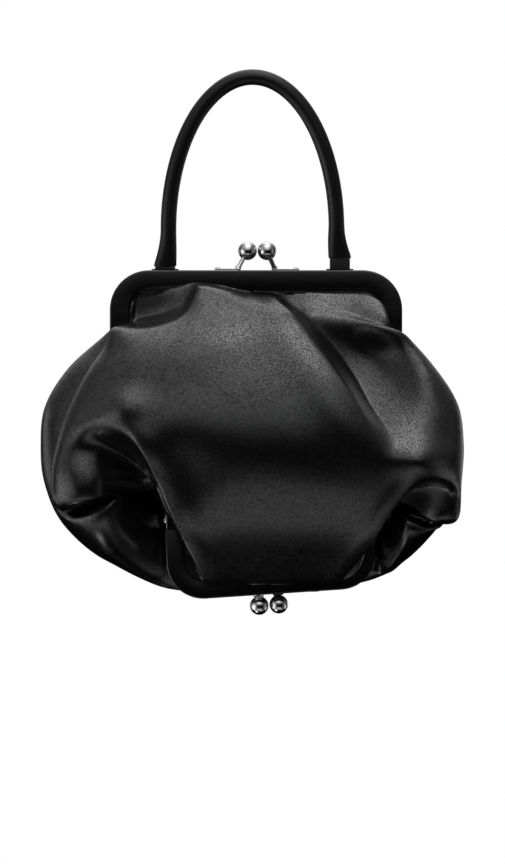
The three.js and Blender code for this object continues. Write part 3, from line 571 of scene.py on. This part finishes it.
def select_faces(obj, is_chosen):
    """In edit mode, selects the faces that a test picks, and no other face, edge or corner."""
    bpy.ops.mesh.select_all(action="DESELECT")
    bpy.ops.object.mode_set(mode="OBJECT")
    for polygon in obj.data.polygons:
        polygon.select = is_chosen(polygon)
    bpy.ops.object.mode_set(mode="EDIT")


def push(x, y, z):
    """Extrudes what is selected."""
    bpy.ops.mesh.extrude_region_move(TRANSFORM_OT_translate={"value": (x * MM, y * MM, z * MM)})


def hand_over(obj, node, material):
    """Names a finished piece, gives it its material and puts it in its node's place."""
    obj.name = node + "_piece"
    obj.data.name = obj.name
    obj.data.materials.clear()
    obj.data.materials.append(material)
    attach(obj, "root")
    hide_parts(node)


def moulded_sheet(surface):
    """Flat sheet of leather, with each of its points moved to its place in a grid of points."""
    rows, columns = surface.shape[0] - 1, surface.shape[1] - 1
    start_clean()
    bpy.ops.mesh.primitive_grid_add(x_subdivisions=columns, y_subdivisions=rows, size=2)
    sheet = bpy.context.object
    flat = np.empty(len(sheet.data.vertices) * 3, dtype=np.float32)
    sheet.data.vertices.foreach_get("co", flat)
    flat = flat.reshape(-1, 3)
    column = np.rint((flat[:, 0] + 1) / 2 * columns).astype(int)
    row = np.rint((1 - flat[:, 1]) / 2 * rows).astype(int)
    places = surface[row, column] * MM
    sheet.data.vertices.foreach_set("co", places.astype(np.float32).ravel())
    sheet.data.update()
    return sheet


# Pieces

def leather_panel(node, face, folds, stops, material):
    columns = panel_columns()
    skin = smooth_run(panel_rows(face, columns), stops, row_places(stops))
    skin = folded_skin(skin, columns, folds, face)
    sheet = moulded_sheet(skin if face < 0 else skin[:, ::-1])
    apply_modifier(sheet, "SOLIDIFY", thickness=WALL * MM, offset=-1)
    smooth_faces(sheet, PANEL_EDGE)
    hand_over(sheet, node, material)


def make_leather(material):
    stops = row_stops(panel_rows(-1, panel_columns()))
    leather_panel("leather_front", -1, FOLDS.values(), stops, material)
    leather_panel("leather_back", 1, [], stops, material)


def frame_half(node, bar, face, material):
    """A grooved bar run up one arm, round a corner, along the top, round the other corner and down."""
    middle = face * HALF_MIDDLE
    thick = HALF_OUTER_FACE - HALF_INNER_FACE
    foot = (-bar["half"] + bar["band"] / 2, middle, -bar["arm"])
    start_clean()
    bpy.ops.mesh.primitive_grid_add(
        x_subdivisions=2, y_subdivisions=3, size=1, location=Vector(foot) * MM,
    )
    half = bpy.context.object
    half.scale = (bar["band"] * MM, thick * MM, 1)
    settle(half)
    bpy.ops.object.mode_set(mode="EDIT")
    bpy.ops.mesh.select_mode(type="FACE")

    def is_groove(polygon):
        is_inner = polygon.center.x > foot[0] * MM
        return is_inner and abs(polygon.center.y - middle * MM) < thick * MM / 6

    select_faces(half, is_groove)
    bpy.ops.mesh.delete(type="FACE")
    bpy.ops.mesh.select_all(action="SELECT")
    leg = bar["arm"] - bar["radius"]
    flat = bar["half"] - bar["radius"]
    push(0, 0, leg)
    for hand in (-1, 1):
        centre = Vector((hand * flat, middle, -bar["radius"])) * MM
        bpy.ops.mesh.spin(steps=CORNER_STEPS, angle=-math.pi / 2, center=centre, axis=(0, 1, 0))
        if hand < 0:
            push(2 * flat, 0, 0)
    push(0, 0, -leg)
    bpy.ops.object.mode_set(mode="OBJECT")
    tidy_mesh(half)
    apply_modifier(
        half, "BEVEL", width=BAR_ROUNDING * MM, segments=4, limit_method="ANGLE",
        angle_limit=math.radians(BAR_EDGE_ANGLE), use_clamp_overlap=True,
    )
    tidy_mesh(half)
    half.rotation_euler.y = -bar["tilt"] if bar["side"] > 0 else math.pi - bar["tilt"]
    half.location = Vector((bar["x"], 0, bar["z"])) * MM
    settle(half)
    smooth_faces(half, PIECE_EDGE)
    hand_over(half, node, material)


def make_frames(material):
    for name, bar in (("top", TOP_FRAME), ("bottom", BOTTOM_FRAME)):
        frame_half(name + "_frame_front", bar, -1, material)
        frame_half(name + "_frame_back", bar, 1, material)


def turned_rod(profile, start, end):
    """Round rod between two points, with its radius at shares of its length."""
    way = Vector(end) - Vector(start)
    start_clean()
    bpy.ops.mesh.primitive_circle_add(vertices=STEM_SIDES, radius=profile[0][1] * MM, fill_type="NGON")
    rod = bpy.context.object
    bpy.ops.object.mode_set(mode="EDIT")
    bpy.ops.mesh.select_all(action="SELECT")
    for (share, radius), (next_share, next_radius) in zip(profile, profile[1:]):
        push(0, 0, (next_share - share) * way.length)
        ratio = next_radius / radius
        centre = (0, 0, next_share * way.length * MM)
        bpy.ops.transform.resize(value=(ratio, ratio, 1), center_override=centre)
    bpy.ops.object.mode_set(mode="OBJECT")
    rod.rotation_euler = way.to_track_quat("Z", "Y").to_euler()
    rod.location = Vector(start) * MM
    settle(rod)
    tidy_mesh(rod)
    return rod


def ball(centre, radii, segments):
    start_clean()
    bpy.ops.mesh.primitive_uv_sphere_add(
        segments=segments, ring_count=segments // 2 + 4, radius=MM, location=Vector(centre) * MM,
    )
    sphere = bpy.context.object
    sphere.scale = radii
    settle(sphere)
    return sphere


def plate(centre, size, rounding):
    start_clean()
    bpy.ops.mesh.primitive_cube_add(size=MM, location=Vector(centre) * MM)
    slab = bpy.context.object
    slab.scale = size
    settle(slab)
    apply_modifier(slab, "BEVEL", width=rounding * MM, segments=3)
    return slab


def make_knob(knob, height, bar, material):
    """Ball, stem, foot plate and a rivet at the plate's far end, as one piece."""
    middle = knob["face"] * HALF_MIDDLE
    centre = (knob["ball"], knob["face"] * BALL_OFFSET, height)
    base = (knob["stem"], middle, GAP + FOOT_HEIGHT / 2)
    foot_from, foot_to = knob["foot"]
    rivet_x = foot_from + FOOT_RIVET_INSET
    if abs(foot_to - knob["stem"]) > abs(foot_from - knob["stem"]):
        rivet_x = foot_to - FOOT_RIVET_INSET
    body = ball(centre, (BALL_RADIUS,) * 3, BALL_SEGMENTS)
    stem = turned_rod(STEM_PROFILE, base, centre)
    foot_middle = ((foot_from + foot_to) / 2, middle, GAP + FOOT_HEIGHT / 2)
    foot = plate(foot_middle, (foot_to - foot_from, FOOT_DEPTH, FOOT_HEIGHT), FOOT_ROUNDING)
    rivet_place = (rivet_x, middle, GAP + FOOT_HEIGHT + FOOT_RIVET_LIFT)
    rivet_radii = (FOOT_RIVET_RADIUS, FOOT_RIVET_RADIUS, FOOT_RIVET_RADIUS * FOOT_RIVET_FLATNESS)
    rivet = ball(rivet_place, rivet_radii, FOOT_RIVET_SEGMENTS)
    fuse(body, [stem, foot, rivet])
    place_on_bar(body, bar)
    tidy_mesh(body)
    smooth_faces(body, PIECE_EDGE)
    hand_over(body, knob["name"], material)


def place_on_bar(obj, bar):
    """Moves a piece built on z 0 to a frame's outer edge, turned over where that edge faces down."""
    if bar["side"] > 0:
        obj.location = (0, 0, bar["z"] * MM)
    else:
        obj.data.transform(Matrix.Diagonal((1, 1, -1, 1)))
        obj.rotation_euler.y = -bar["tilt"]
        obj.location = Vector((bar["x"], 0, bar["z"])) * MM
    settle(obj)


def make_knobs(material):
    for knob in TOP_BALLS:
        make_knob(knob, TOP_BALL_HEIGHT, TOP_FRAME, material)
    for knob in BOTTOM_BALLS:
        make_knob(knob, BOTTOM_BALL_HEIGHT, BOTTOM_FRAME, material)


def make_hinge(node, bar, hand, material):
    thick, _, tall = HINGE_PLATE
    body = plate((0, 0, 0), HINGE_PLATE, HINGE_ROUNDING)
    rivet_place = (hand * thick / 2, 0, -bar["side"] * tall * RIVET_SHIFT)
    rivet = ball(rivet_place, (RIVET_HEIGHT, RIVET_RADIUS, RIVET_RADIUS), RIVET_SEGMENTS)
    fuse(body, [rivet])
    across = hand * (bar["half"] - HINGE_INSET - thick / 2)
    x, z = frame_place(bar, across, bar["arm"] + GAP + tall / 2)
    body.rotation_euler.y = -bar["tilt"]
    body.location = Vector((x, 0, z)) * MM
    settle(body)
    tidy_mesh(body)
    smooth_faces(body, PIECE_EDGE)
    hand_over(body, node, material)


def make_hinges(material):
    for name, bar in (("top", TOP_FRAME), ("bottom", BOTTOM_FRAME)):
        make_hinge(name + "_hinge_left", bar, -1, material)
        make_hinge(name + "_hinge_right", bar, 1, material)


def handle_stations():
    """x and z of places along the handle, from its left end to its right end."""
    arch_middle = HANDLE_RADIUS - HANDLE_RISE
    turns = np.linspace(math.pi, 0, HANDLE_ARCH_STEPS + 1)
    arch = np.stack([
        HANDLE_HALF_SPAN * np.cos(turns),
        arch_middle + HANDLE_RISE * np.sin(turns),
    ], axis=1)
    shares = np.linspace(0, 1, HANDLE_LEG_STEPS + 1)[1:]

    def leg(hand, end):
        x = hand * (HANDLE_HALF_SPAN + HANDLE_LEG_SPREAD * shares ** 2)
        return np.stack([x, arch_middle + (end - arch_middle) * shares], axis=1)

    return np.concatenate([leg(-1, HANDLE_LEFT_END)[::-1], arch, leg(1, HANDLE_RIGHT_END)])


def make_handle(material):
    """Tube along the handle's way, flared flat at its ends and leaning back onto the back frame half."""
    way = handle_stations()
    heading = np.gradient(way, axis=0)
    heading /= np.linalg.norm(heading, axis=1)[:, None]
    heading[0] = (0, 1)
    heading[-1] = (0, -1)
    ends = np.where(way[:, 0] < 0, HANDLE_LEFT_END, HANDLE_RIGHT_END)
    flare = np.maximum(1 - (way[:, 1] - ends) / HANDLE_FLARE_LENGTH, 0) ** HANDLE_FLARE_POWER
    half_width = HANDLE_RADIUS + (HANDLE_FLARE_HALF_WIDTH - HANDLE_RADIUS) * flare
    half_thickness = HANDLE_RADIUS + (HANDLE_FLARE_HALF_THICKNESS - HANDLE_RADIUS) * flare
    lean = HALF_MIDDLE * smooth_step(HANDLE_RADIUS, HANDLE_LEFT_END, way[:, 1])
    turn = np.linspace(0, 2 * math.pi, HANDLE_SIDES + 1) + math.pi
    out = half_width[:, None] * np.cos(turn)
    x = way[:, :1] - heading[:, 1:] * out
    z = way[:, 1:] + heading[:, :1] * out
    y = lean[:, None] + half_thickness[:, None] * np.sin(turn)
    tube = moulded_sheet(np.stack([x, y, z], axis=2))
    tidy_mesh(tube)
    bpy.ops.object.mode_set(mode="EDIT")
    bpy.ops.mesh.select_all(action="SELECT")
    bpy.ops.mesh.fill_holes(sides=0)
    bpy.ops.object.mode_set(mode="OBJECT")
    tidy_mesh(tube)
    smooth_faces(tube, HANDLE_EDGE)
    hand_over(tube, "handle", material)


def make_tab(node, middle, top, material):
    """Flat foot on the back frame half, with a tongue that reaches up to the handle's end."""
    bottom = TOP_FRAME["z"] + GAP
    start_clean()
    foot_place = (middle, HALF_MIDDLE, bottom + TAB_FOOT_HEIGHT / 2)
    bpy.ops.mesh.primitive_cube_add(size=MM, location=Vector(foot_place) * MM)
    tab = bpy.context.object
    tab.scale = (TAB_FOOT_WIDTH, TAB_DEPTH, TAB_FOOT_HEIGHT)
    settle(tab)
    bpy.ops.object.mode_set(mode="EDIT")
    bpy.ops.mesh.select_mode(type="FACE")
    for hand in (-1, 1):
        cut = Vector((middle + hand * TAB_TONGUE_WIDTH / 2, 0, 0)) * MM
        bpy.ops.mesh.select_all(action="SELECT")
        bpy.ops.mesh.bisect(plane_co=cut, plane_no=(1, 0, 0))

    def is_tongue(polygon):
        return polygon.normal.z > 0.9 and abs(polygon.center.x - middle * MM) < MM

    select_faces(tab, is_tongue)
    push(0, 0, top - bottom - TAB_FOOT_HEIGHT)
    bpy.ops.object.mode_set(mode="OBJECT")
    tidy_mesh(tab)
    apply_modifier(tab, "BEVEL", width=TAB_ROUNDING * MM, segments=3, limit_method="ANGLE")
    smooth_faces(tab, PIECE_EDGE)
    hand_over(tab, node, material)


def make_tabs(material):
    leg_end = HANDLE_HALF_SPAN + HANDLE_LEG_SPREAD
    make_tab("handle_tab_left", -leg_end, HANDLE_LEFT_END - CONTACT, material)
    make_tab("handle_tab_right", leg_end, HANDLE_RIGHT_END - CONTACT, material)


# Materials

# Grain: fineness and reach of the wander of the pebbles, width of a pebble's edge, height of the pores,
# and the heights between which the polish grows
WANDER_SCALE = 450
WANDER_REACH = 0.0009
PEBBLE_EDGE = 0.35
PORE_HEIGHT = 0.45
POLISHED_HEIGHTS = (0.15, 1.15)
POLISH_IOR = 1.8


def new_group(name, inputs, outputs):
    group = bpy.data.node_groups.new(name, "ShaderNodeTree")
    for socket, value in inputs:
        made = group.interface.new_socket(socket, in_out="INPUT", socket_type="NodeSocketFloat")
        made.default_value = value
    for socket in outputs:
        group.interface.new_socket(socket, in_out="OUTPUT", socket_type="NodeSocketFloat")
    entry = group.nodes.new("NodeGroupInput")
    leave = group.nodes.new("NodeGroupOutput")
    return group, entry, leave


def leather_grain_group():
    """Pebbled leather: raised cells with creases between them, fine pores and slow changes of tone."""
    group, entry, leave = new_group(
        "leather_grain", [("Pebbles", 900), ("Pores", 4000), ("Patches", 22)], ["Height", "Tone"],
    )
    nodes, links = group.nodes, group.links
    where = nodes.new("ShaderNodeTexCoord")
    wander = nodes.new("ShaderNodeTexNoise")
    wander.inputs["Scale"].default_value = WANDER_SCALE
    wander.inputs["Detail"].default_value = 1
    links.new(where.outputs["Object"], wander.inputs["Vector"])
    shift = nodes.new("ShaderNodeVectorMath")
    shift.operation = "MULTIPLY_ADD"
    shift.inputs[1].default_value = (WANDER_REACH,) * 3
    links.new(wander.outputs["Color"], shift.inputs[0])
    links.new(where.outputs["Object"], shift.inputs[2])
    cells = nodes.new("ShaderNodeTexVoronoi")
    cells.feature = "DISTANCE_TO_EDGE"
    links.new(shift.outputs["Vector"], cells.inputs["Vector"])
    links.new(entry.outputs["Pebbles"], cells.inputs["Scale"])
    crown = nodes.new("ShaderNodeMapRange")
    crown.interpolation_type = "SMOOTHSTEP"
    crown.inputs["From Max"].default_value = PEBBLE_EDGE
    links.new(cells.outputs["Distance"], crown.inputs["Value"])
    pores = nodes.new("ShaderNodeTexNoise")
    pores.inputs["Detail"].default_value = 2
    links.new(where.outputs["Object"], pores.inputs["Vector"])
    links.new(entry.outputs["Pores"], pores.inputs["Scale"])
    height = nodes.new("ShaderNodeMath")
    height.operation = "MULTIPLY_ADD"
    height.inputs[1].default_value = PORE_HEIGHT
    links.new(pores.outputs["Fac"], height.inputs[0])
    links.new(crown.outputs["Result"], height.inputs[2])
    links.new(height.outputs["Value"], leave.inputs["Height"])
    patches = nodes.new("ShaderNodeTexNoise")
    patches.inputs["Detail"].default_value = 3
    links.new(where.outputs["Object"], patches.inputs["Vector"])
    links.new(entry.outputs["Patches"], patches.inputs["Scale"])
    links.new(patches.outputs["Fac"], leave.inputs["Tone"])
    return group


def new_material(name):
    material = bpy.data.materials.new(name)
    material.use_nodes = True
    tree = material.node_tree
    return material, tree.nodes, tree.links, tree.nodes["Principled BSDF"]


def leather_material(name, grain, look):
    material, nodes, links, shader = new_material(name)
    pattern = nodes.new("ShaderNodeGroup")
    pattern.node_tree = grain
    pattern.inputs["Pebbles"].default_value = look["pebbles"]
    pattern.inputs["Pores"].default_value = look["pores"]
    colour = nodes.new("ShaderNodeMix")
    colour.data_type = "RGBA"
    colour.inputs["A"].default_value = (*look["dark"], 1)
    colour.inputs["B"].default_value = (*look["light"], 1)
    links.new(pattern.outputs["Tone"], colour.inputs["Factor"])
    links.new(colour.outputs["Result"], shader.inputs["Base Color"])
    rough = nodes.new("ShaderNodeMapRange")
    rough.inputs["To Min"].default_value = look["rough"][0]
    rough.inputs["To Max"].default_value = look["rough"][1]
    links.new(pattern.outputs["Tone"], rough.inputs["Value"])
    links.new(rough.outputs["Result"], shader.inputs["Roughness"])
    bump = nodes.new("ShaderNodeBump")
    bump.inputs["Strength"].default_value = look["relief"]
    bump.inputs["Distance"].default_value = look["relief_depth"] * MM
    links.new(pattern.outputs["Height"], bump.inputs["Height"])
    links.new(bump.outputs["Normal"], shader.inputs["Normal"])
    polish = nodes.new("ShaderNodeMapRange")
    polish.inputs["From Min"].default_value = POLISHED_HEIGHTS[0]
    polish.inputs["From Max"].default_value = POLISHED_HEIGHTS[1]
    polish.inputs["To Min"].default_value = look["polish"][0]
    polish.inputs["To Max"].default_value = look["polish"][1]
    links.new(pattern.outputs["Height"], polish.inputs["Value"])
    links.new(polish.outputs["Result"], shader.inputs["Coat Weight"])
    shader.inputs["Coat Roughness"].default_value = look["polish_rough"]
    shader.inputs["Coat IOR"].default_value = POLISH_IOR
    shader.inputs["Specular IOR Level"].default_value = look["shine"]
    return material


def metal_material(name, colour, rough, streaks):
    material, nodes, links, shader = new_material(name)
    where = nodes.new("ShaderNodeTexCoord")
    noise = nodes.new("ShaderNodeTexNoise")
    noise.inputs["Scale"].default_value = streaks
    noise.inputs["Detail"].default_value = 4
    links.new(where.outputs["Object"], noise.inputs["Vector"])
    spread = nodes.new("ShaderNodeMapRange")
    spread.inputs["To Min"].default_value = rough[0]
    spread.inputs["To Max"].default_value = rough[1]
    links.new(noise.outputs["Fac"], spread.inputs["Value"])
    links.new(spread.outputs["Result"], shader.inputs["Roughness"])
    shader.inputs["Base Color"].default_value = (*colour, 1)
    shader.inputs["Metallic"].default_value = 1
    return material


# Stage

def make_camera():
    data = bpy.data.cameras.new("photo_camera")
    data.sensor_fit = "VERTICAL"
    data.sensor_height = SENSOR
    data.lens = SENSOR * CAMERA_DISTANCE / (PHOTO_HEIGHT * MM_PER_PIXEL)
    camera = bpy.data.objects.new("photo_camera", data)
    camera.location = Vector((0, -CAMERA_DISTANCE, CAMERA_HEIGHT)) * MM
    camera.rotation_euler = (math.pi / 2, 0, 0)
    bpy.context.scene.collection.objects.link(camera)
    bpy.context.scene.camera = camera


def make_floor():
    start_clean()
    bpy.ops.mesh.primitive_plane_add(size=FLOOR_SIZE * MM, location=(0, 0, FLOOR_LEVEL * MM))
    floor = bpy.context.object
    floor.name = "floor"
    material = bpy.data.materials.new("pale_floor")
    material.use_nodes = True
    nodes = material.node_tree.nodes
    glow = nodes.new("ShaderNodeEmission")
    material.node_tree.links.new(glow.outputs["Emission"], nodes["Material Output"].inputs["Surface"])
    floor.data.materials.append(material)
    for ray in ("diffuse", "glossy", "transmission", "shadow"):
        setattr(floor, "visible_" + ray, False)


# Brightness of the studio: above and below by the direction's height, beside by its share to the right
TOP_LIGHT = [(-0.1, 0), (0, 0.03), (0.12, 0.15), (0.3, 0.75), (0.7, 1.8), (1, 2.3)]
FLOOR_LIGHT = [(-1, 0), (-0.95, 0.03), (-0.85, 0.95), (-0.7, 0.7), (-0.55, 0.1), (-0.4, 0.01), (0, 0)]
SIDE_LIGHT = [
    (-1, 2), (-0.9, 2), (-0.75, 1.2), (-0.55, 0.2), (-0.35, 0.01), (0, 0), (0.6, 0), (0.85, 0.1),
    (1, 0.5),
]

# Fades of these lights: where each starts and ends, and the share that is left past its end
TOP_FADE_ASIDE = (0.1, 0.75, 0.2)
FLOOR_FADE_BACK = (-0.3, 0.1, 0)
SIDE_FADE_BACK = (-0.1, 0.25, 0)
SIDE_FADE_UP = (-0.1, 0.3, 0.2)


def make_studio():
    """White to the camera, and to the bag soft light from above and beside and the glow of the floor."""
    world = bpy.data.worlds.new("studio")
    bpy.context.scene.world = world
    world.use_nodes = True
    nodes, links = world.node_tree.nodes, world.node_tree.links
    where = nodes.new("ShaderNodeTexCoord")
    split = nodes.new("ShaderNodeSeparateXYZ")
    links.new(where.outputs["Generated"], split.inputs["Vector"])
    across, back, up = (split.outputs[axis] for axis in "XYZ")

    def by_table(table, along):
        """Brightness from a table of places from -1 to 1 along one axis."""
        spread = nodes.new("ShaderNodeMapRange")
        spread.inputs["From Min"].default_value = -1
        links.new(along, spread.inputs["Value"])
        ramp = nodes.new("ShaderNodeValToRGB")
        links.new(spread.outputs["Result"], ramp.inputs["Fac"])
        stops = ramp.color_ramp.elements
        while len(stops) > 1:
            stops.remove(stops[-1])
        for number, (place, bright) in enumerate(table):
            stop = stops[0] if number == 0 else stops.new((place + 1) / 2)
            stop.position = (place + 1) / 2
            stop.color = (bright, bright, bright, 1)
        return ramp.outputs["Color"]

    def faded(colour, along, fade):
        """A brightness that falls off between two places along one axis."""
        window = nodes.new("ShaderNodeMapRange")
        window.interpolation_type = "SMOOTHSTEP"
        window.inputs["From Min"].default_value = fade[0]
        window.inputs["From Max"].default_value = fade[1]
        window.inputs["To Min"].default_value = 1
        window.inputs["To Max"].default_value = fade[2]
        links.new(along, window.inputs["Value"])
        scaled = nodes.new("ShaderNodeVectorMath")
        scaled.operation = "SCALE"
        links.new(colour, scaled.inputs["Vector"])
        links.new(window.outputs["Result"], scaled.inputs["Scale"])
        return scaled.outputs["Vector"]

    def size_of(along):
        size = nodes.new("ShaderNodeMath")
        size.operation = "ABSOLUTE"
        links.new(along, size.inputs[0])
        return size.outputs["Value"]

    def added(first, second):
        total = nodes.new("ShaderNodeVectorMath")
        total.operation = "ADD"
        links.new(first, total.inputs[0])
        links.new(second, total.inputs[1])
        return total.outputs["Vector"]

    top = faded(by_table(TOP_LIGHT, up), size_of(across), TOP_FADE_ASIDE)
    floor = faded(by_table(FLOOR_LIGHT, up), size_of(across), TOP_FADE_ASIDE)
    floor = faded(floor, back, FLOOR_FADE_BACK)
    side = faded(by_table(SIDE_LIGHT, across), back, SIDE_FADE_BACK)
    side = faded(side, up, SIDE_FADE_UP)
    path = nodes.new("ShaderNodeLightPath")
    seen = nodes.new("ShaderNodeMix")
    seen.data_type = "RGBA"
    links.new(path.outputs["Is Camera Ray"], seen.inputs["Factor"])
    links.new(added(added(top, floor), side), seen.inputs["A"])
    seen.inputs["B"].default_value = (1, 1, 1, 1)
    links.new(seen.outputs["Result"], nodes["Background"].inputs["Color"])
    bpy.context.scene.view_settings.view_transform = "Standard"


# Soft boxes, turned towards the middle of the bag: place, width, height, power
SOFT_BOXES = [
    ((-1300, 1000, -280), 500, 900, 1),
    ((330, -450, 1140), 700, 700, 2.8),
    ((1200, 1200, -250), 300, 900, 1.5),
    ((1000, 200, -780), 500, 500, 0.8),
    ((-1000, 250, -750), 500, 500, 0.7),
    ((-380, 0, -1280), 300, 300, 0.8),
]
BAG_MIDDLE = (0, 0, -240)


def make_soft_boxes():
    for number, (place, width, height, power) in enumerate(SOFT_BOXES):
        data = bpy.data.lights.new(f"soft_box_{number}", "AREA")
        data.shape = "RECTANGLE"
        data.size = width * MM
        data.size_y = height * MM
        data.energy = power
        light = bpy.data.objects.new(data.name, data)
        light.location = Vector(place) * MM
        aim = Vector(BAG_MIDDLE) - Vector(place)
        light.rotation_euler = aim.to_track_quat("-Z", "Y").to_euler()
        light.visible_camera = False
        bpy.context.scene.collection.objects.link(light)


GRAIN = leather_grain_group()
BODY_LOOK = {
    "pebbles": 1000, "pores": 3600, "dark": (0.002, 0.002, 0.0021), "light": (0.004, 0.004, 0.0042),
    "rough": (0.14, 0.19), "relief": 0.5, "relief_depth": 0.12,
    "shine": 0.15, "polish": (0, 1), "polish_rough": 0.24,
}
FRAME_LOOK = {
    "pebbles": 1300, "pores": 5200, "dark": (0.0015, 0.0015, 0.0016), "light": (0.003, 0.003, 0.0031),
    "rough": (0.14, 0.2), "relief": 0.3, "relief_depth": 0.1,
    "shine": 0.3, "polish": (0.05, 0.3), "polish_rough": 0.17,
}
HANDLE_LOOK = {
    "pebbles": 1200, "pores": 5200, "dark": (0.003, 0.003, 0.0031), "light": (0.005, 0.005, 0.0052),
    "rough": (0.28, 0.36), "relief": 0.3, "relief_depth": 0.1,
    "shine": 0.2, "polish": (0, 0.15), "polish_rough": 0.32,
}
BODY_LEATHER = leather_material("body_leather_grain", GRAIN, BODY_LOOK)
FRAME_LEATHER = leather_material("frame_leather_grain", GRAIN, FRAME_LOOK)
HANDLE_LEATHER = leather_material("handle_leather_grain", GRAIN, HANDLE_LOOK)
NICKEL = metal_material("dark_nickel_polish", colour=(0.5, 0.5, 0.51), rough=(0.05, 0.1), streaks=60)
STEEL = metal_material("brushed_steel_rivet", colour=(0.55, 0.55, 0.56), rough=(0.2, 0.34), streaks=300)

make_camera()
make_floor()
make_studio()
make_soft_boxes()
make_leather(BODY_LEATHER)
make_frames(FRAME_LEATHER)
make_knobs(NICKEL)
make_hinges(STEEL)
make_handle(HANDLE_LEATHER)
make_tabs(HANDLE_LEATHER)
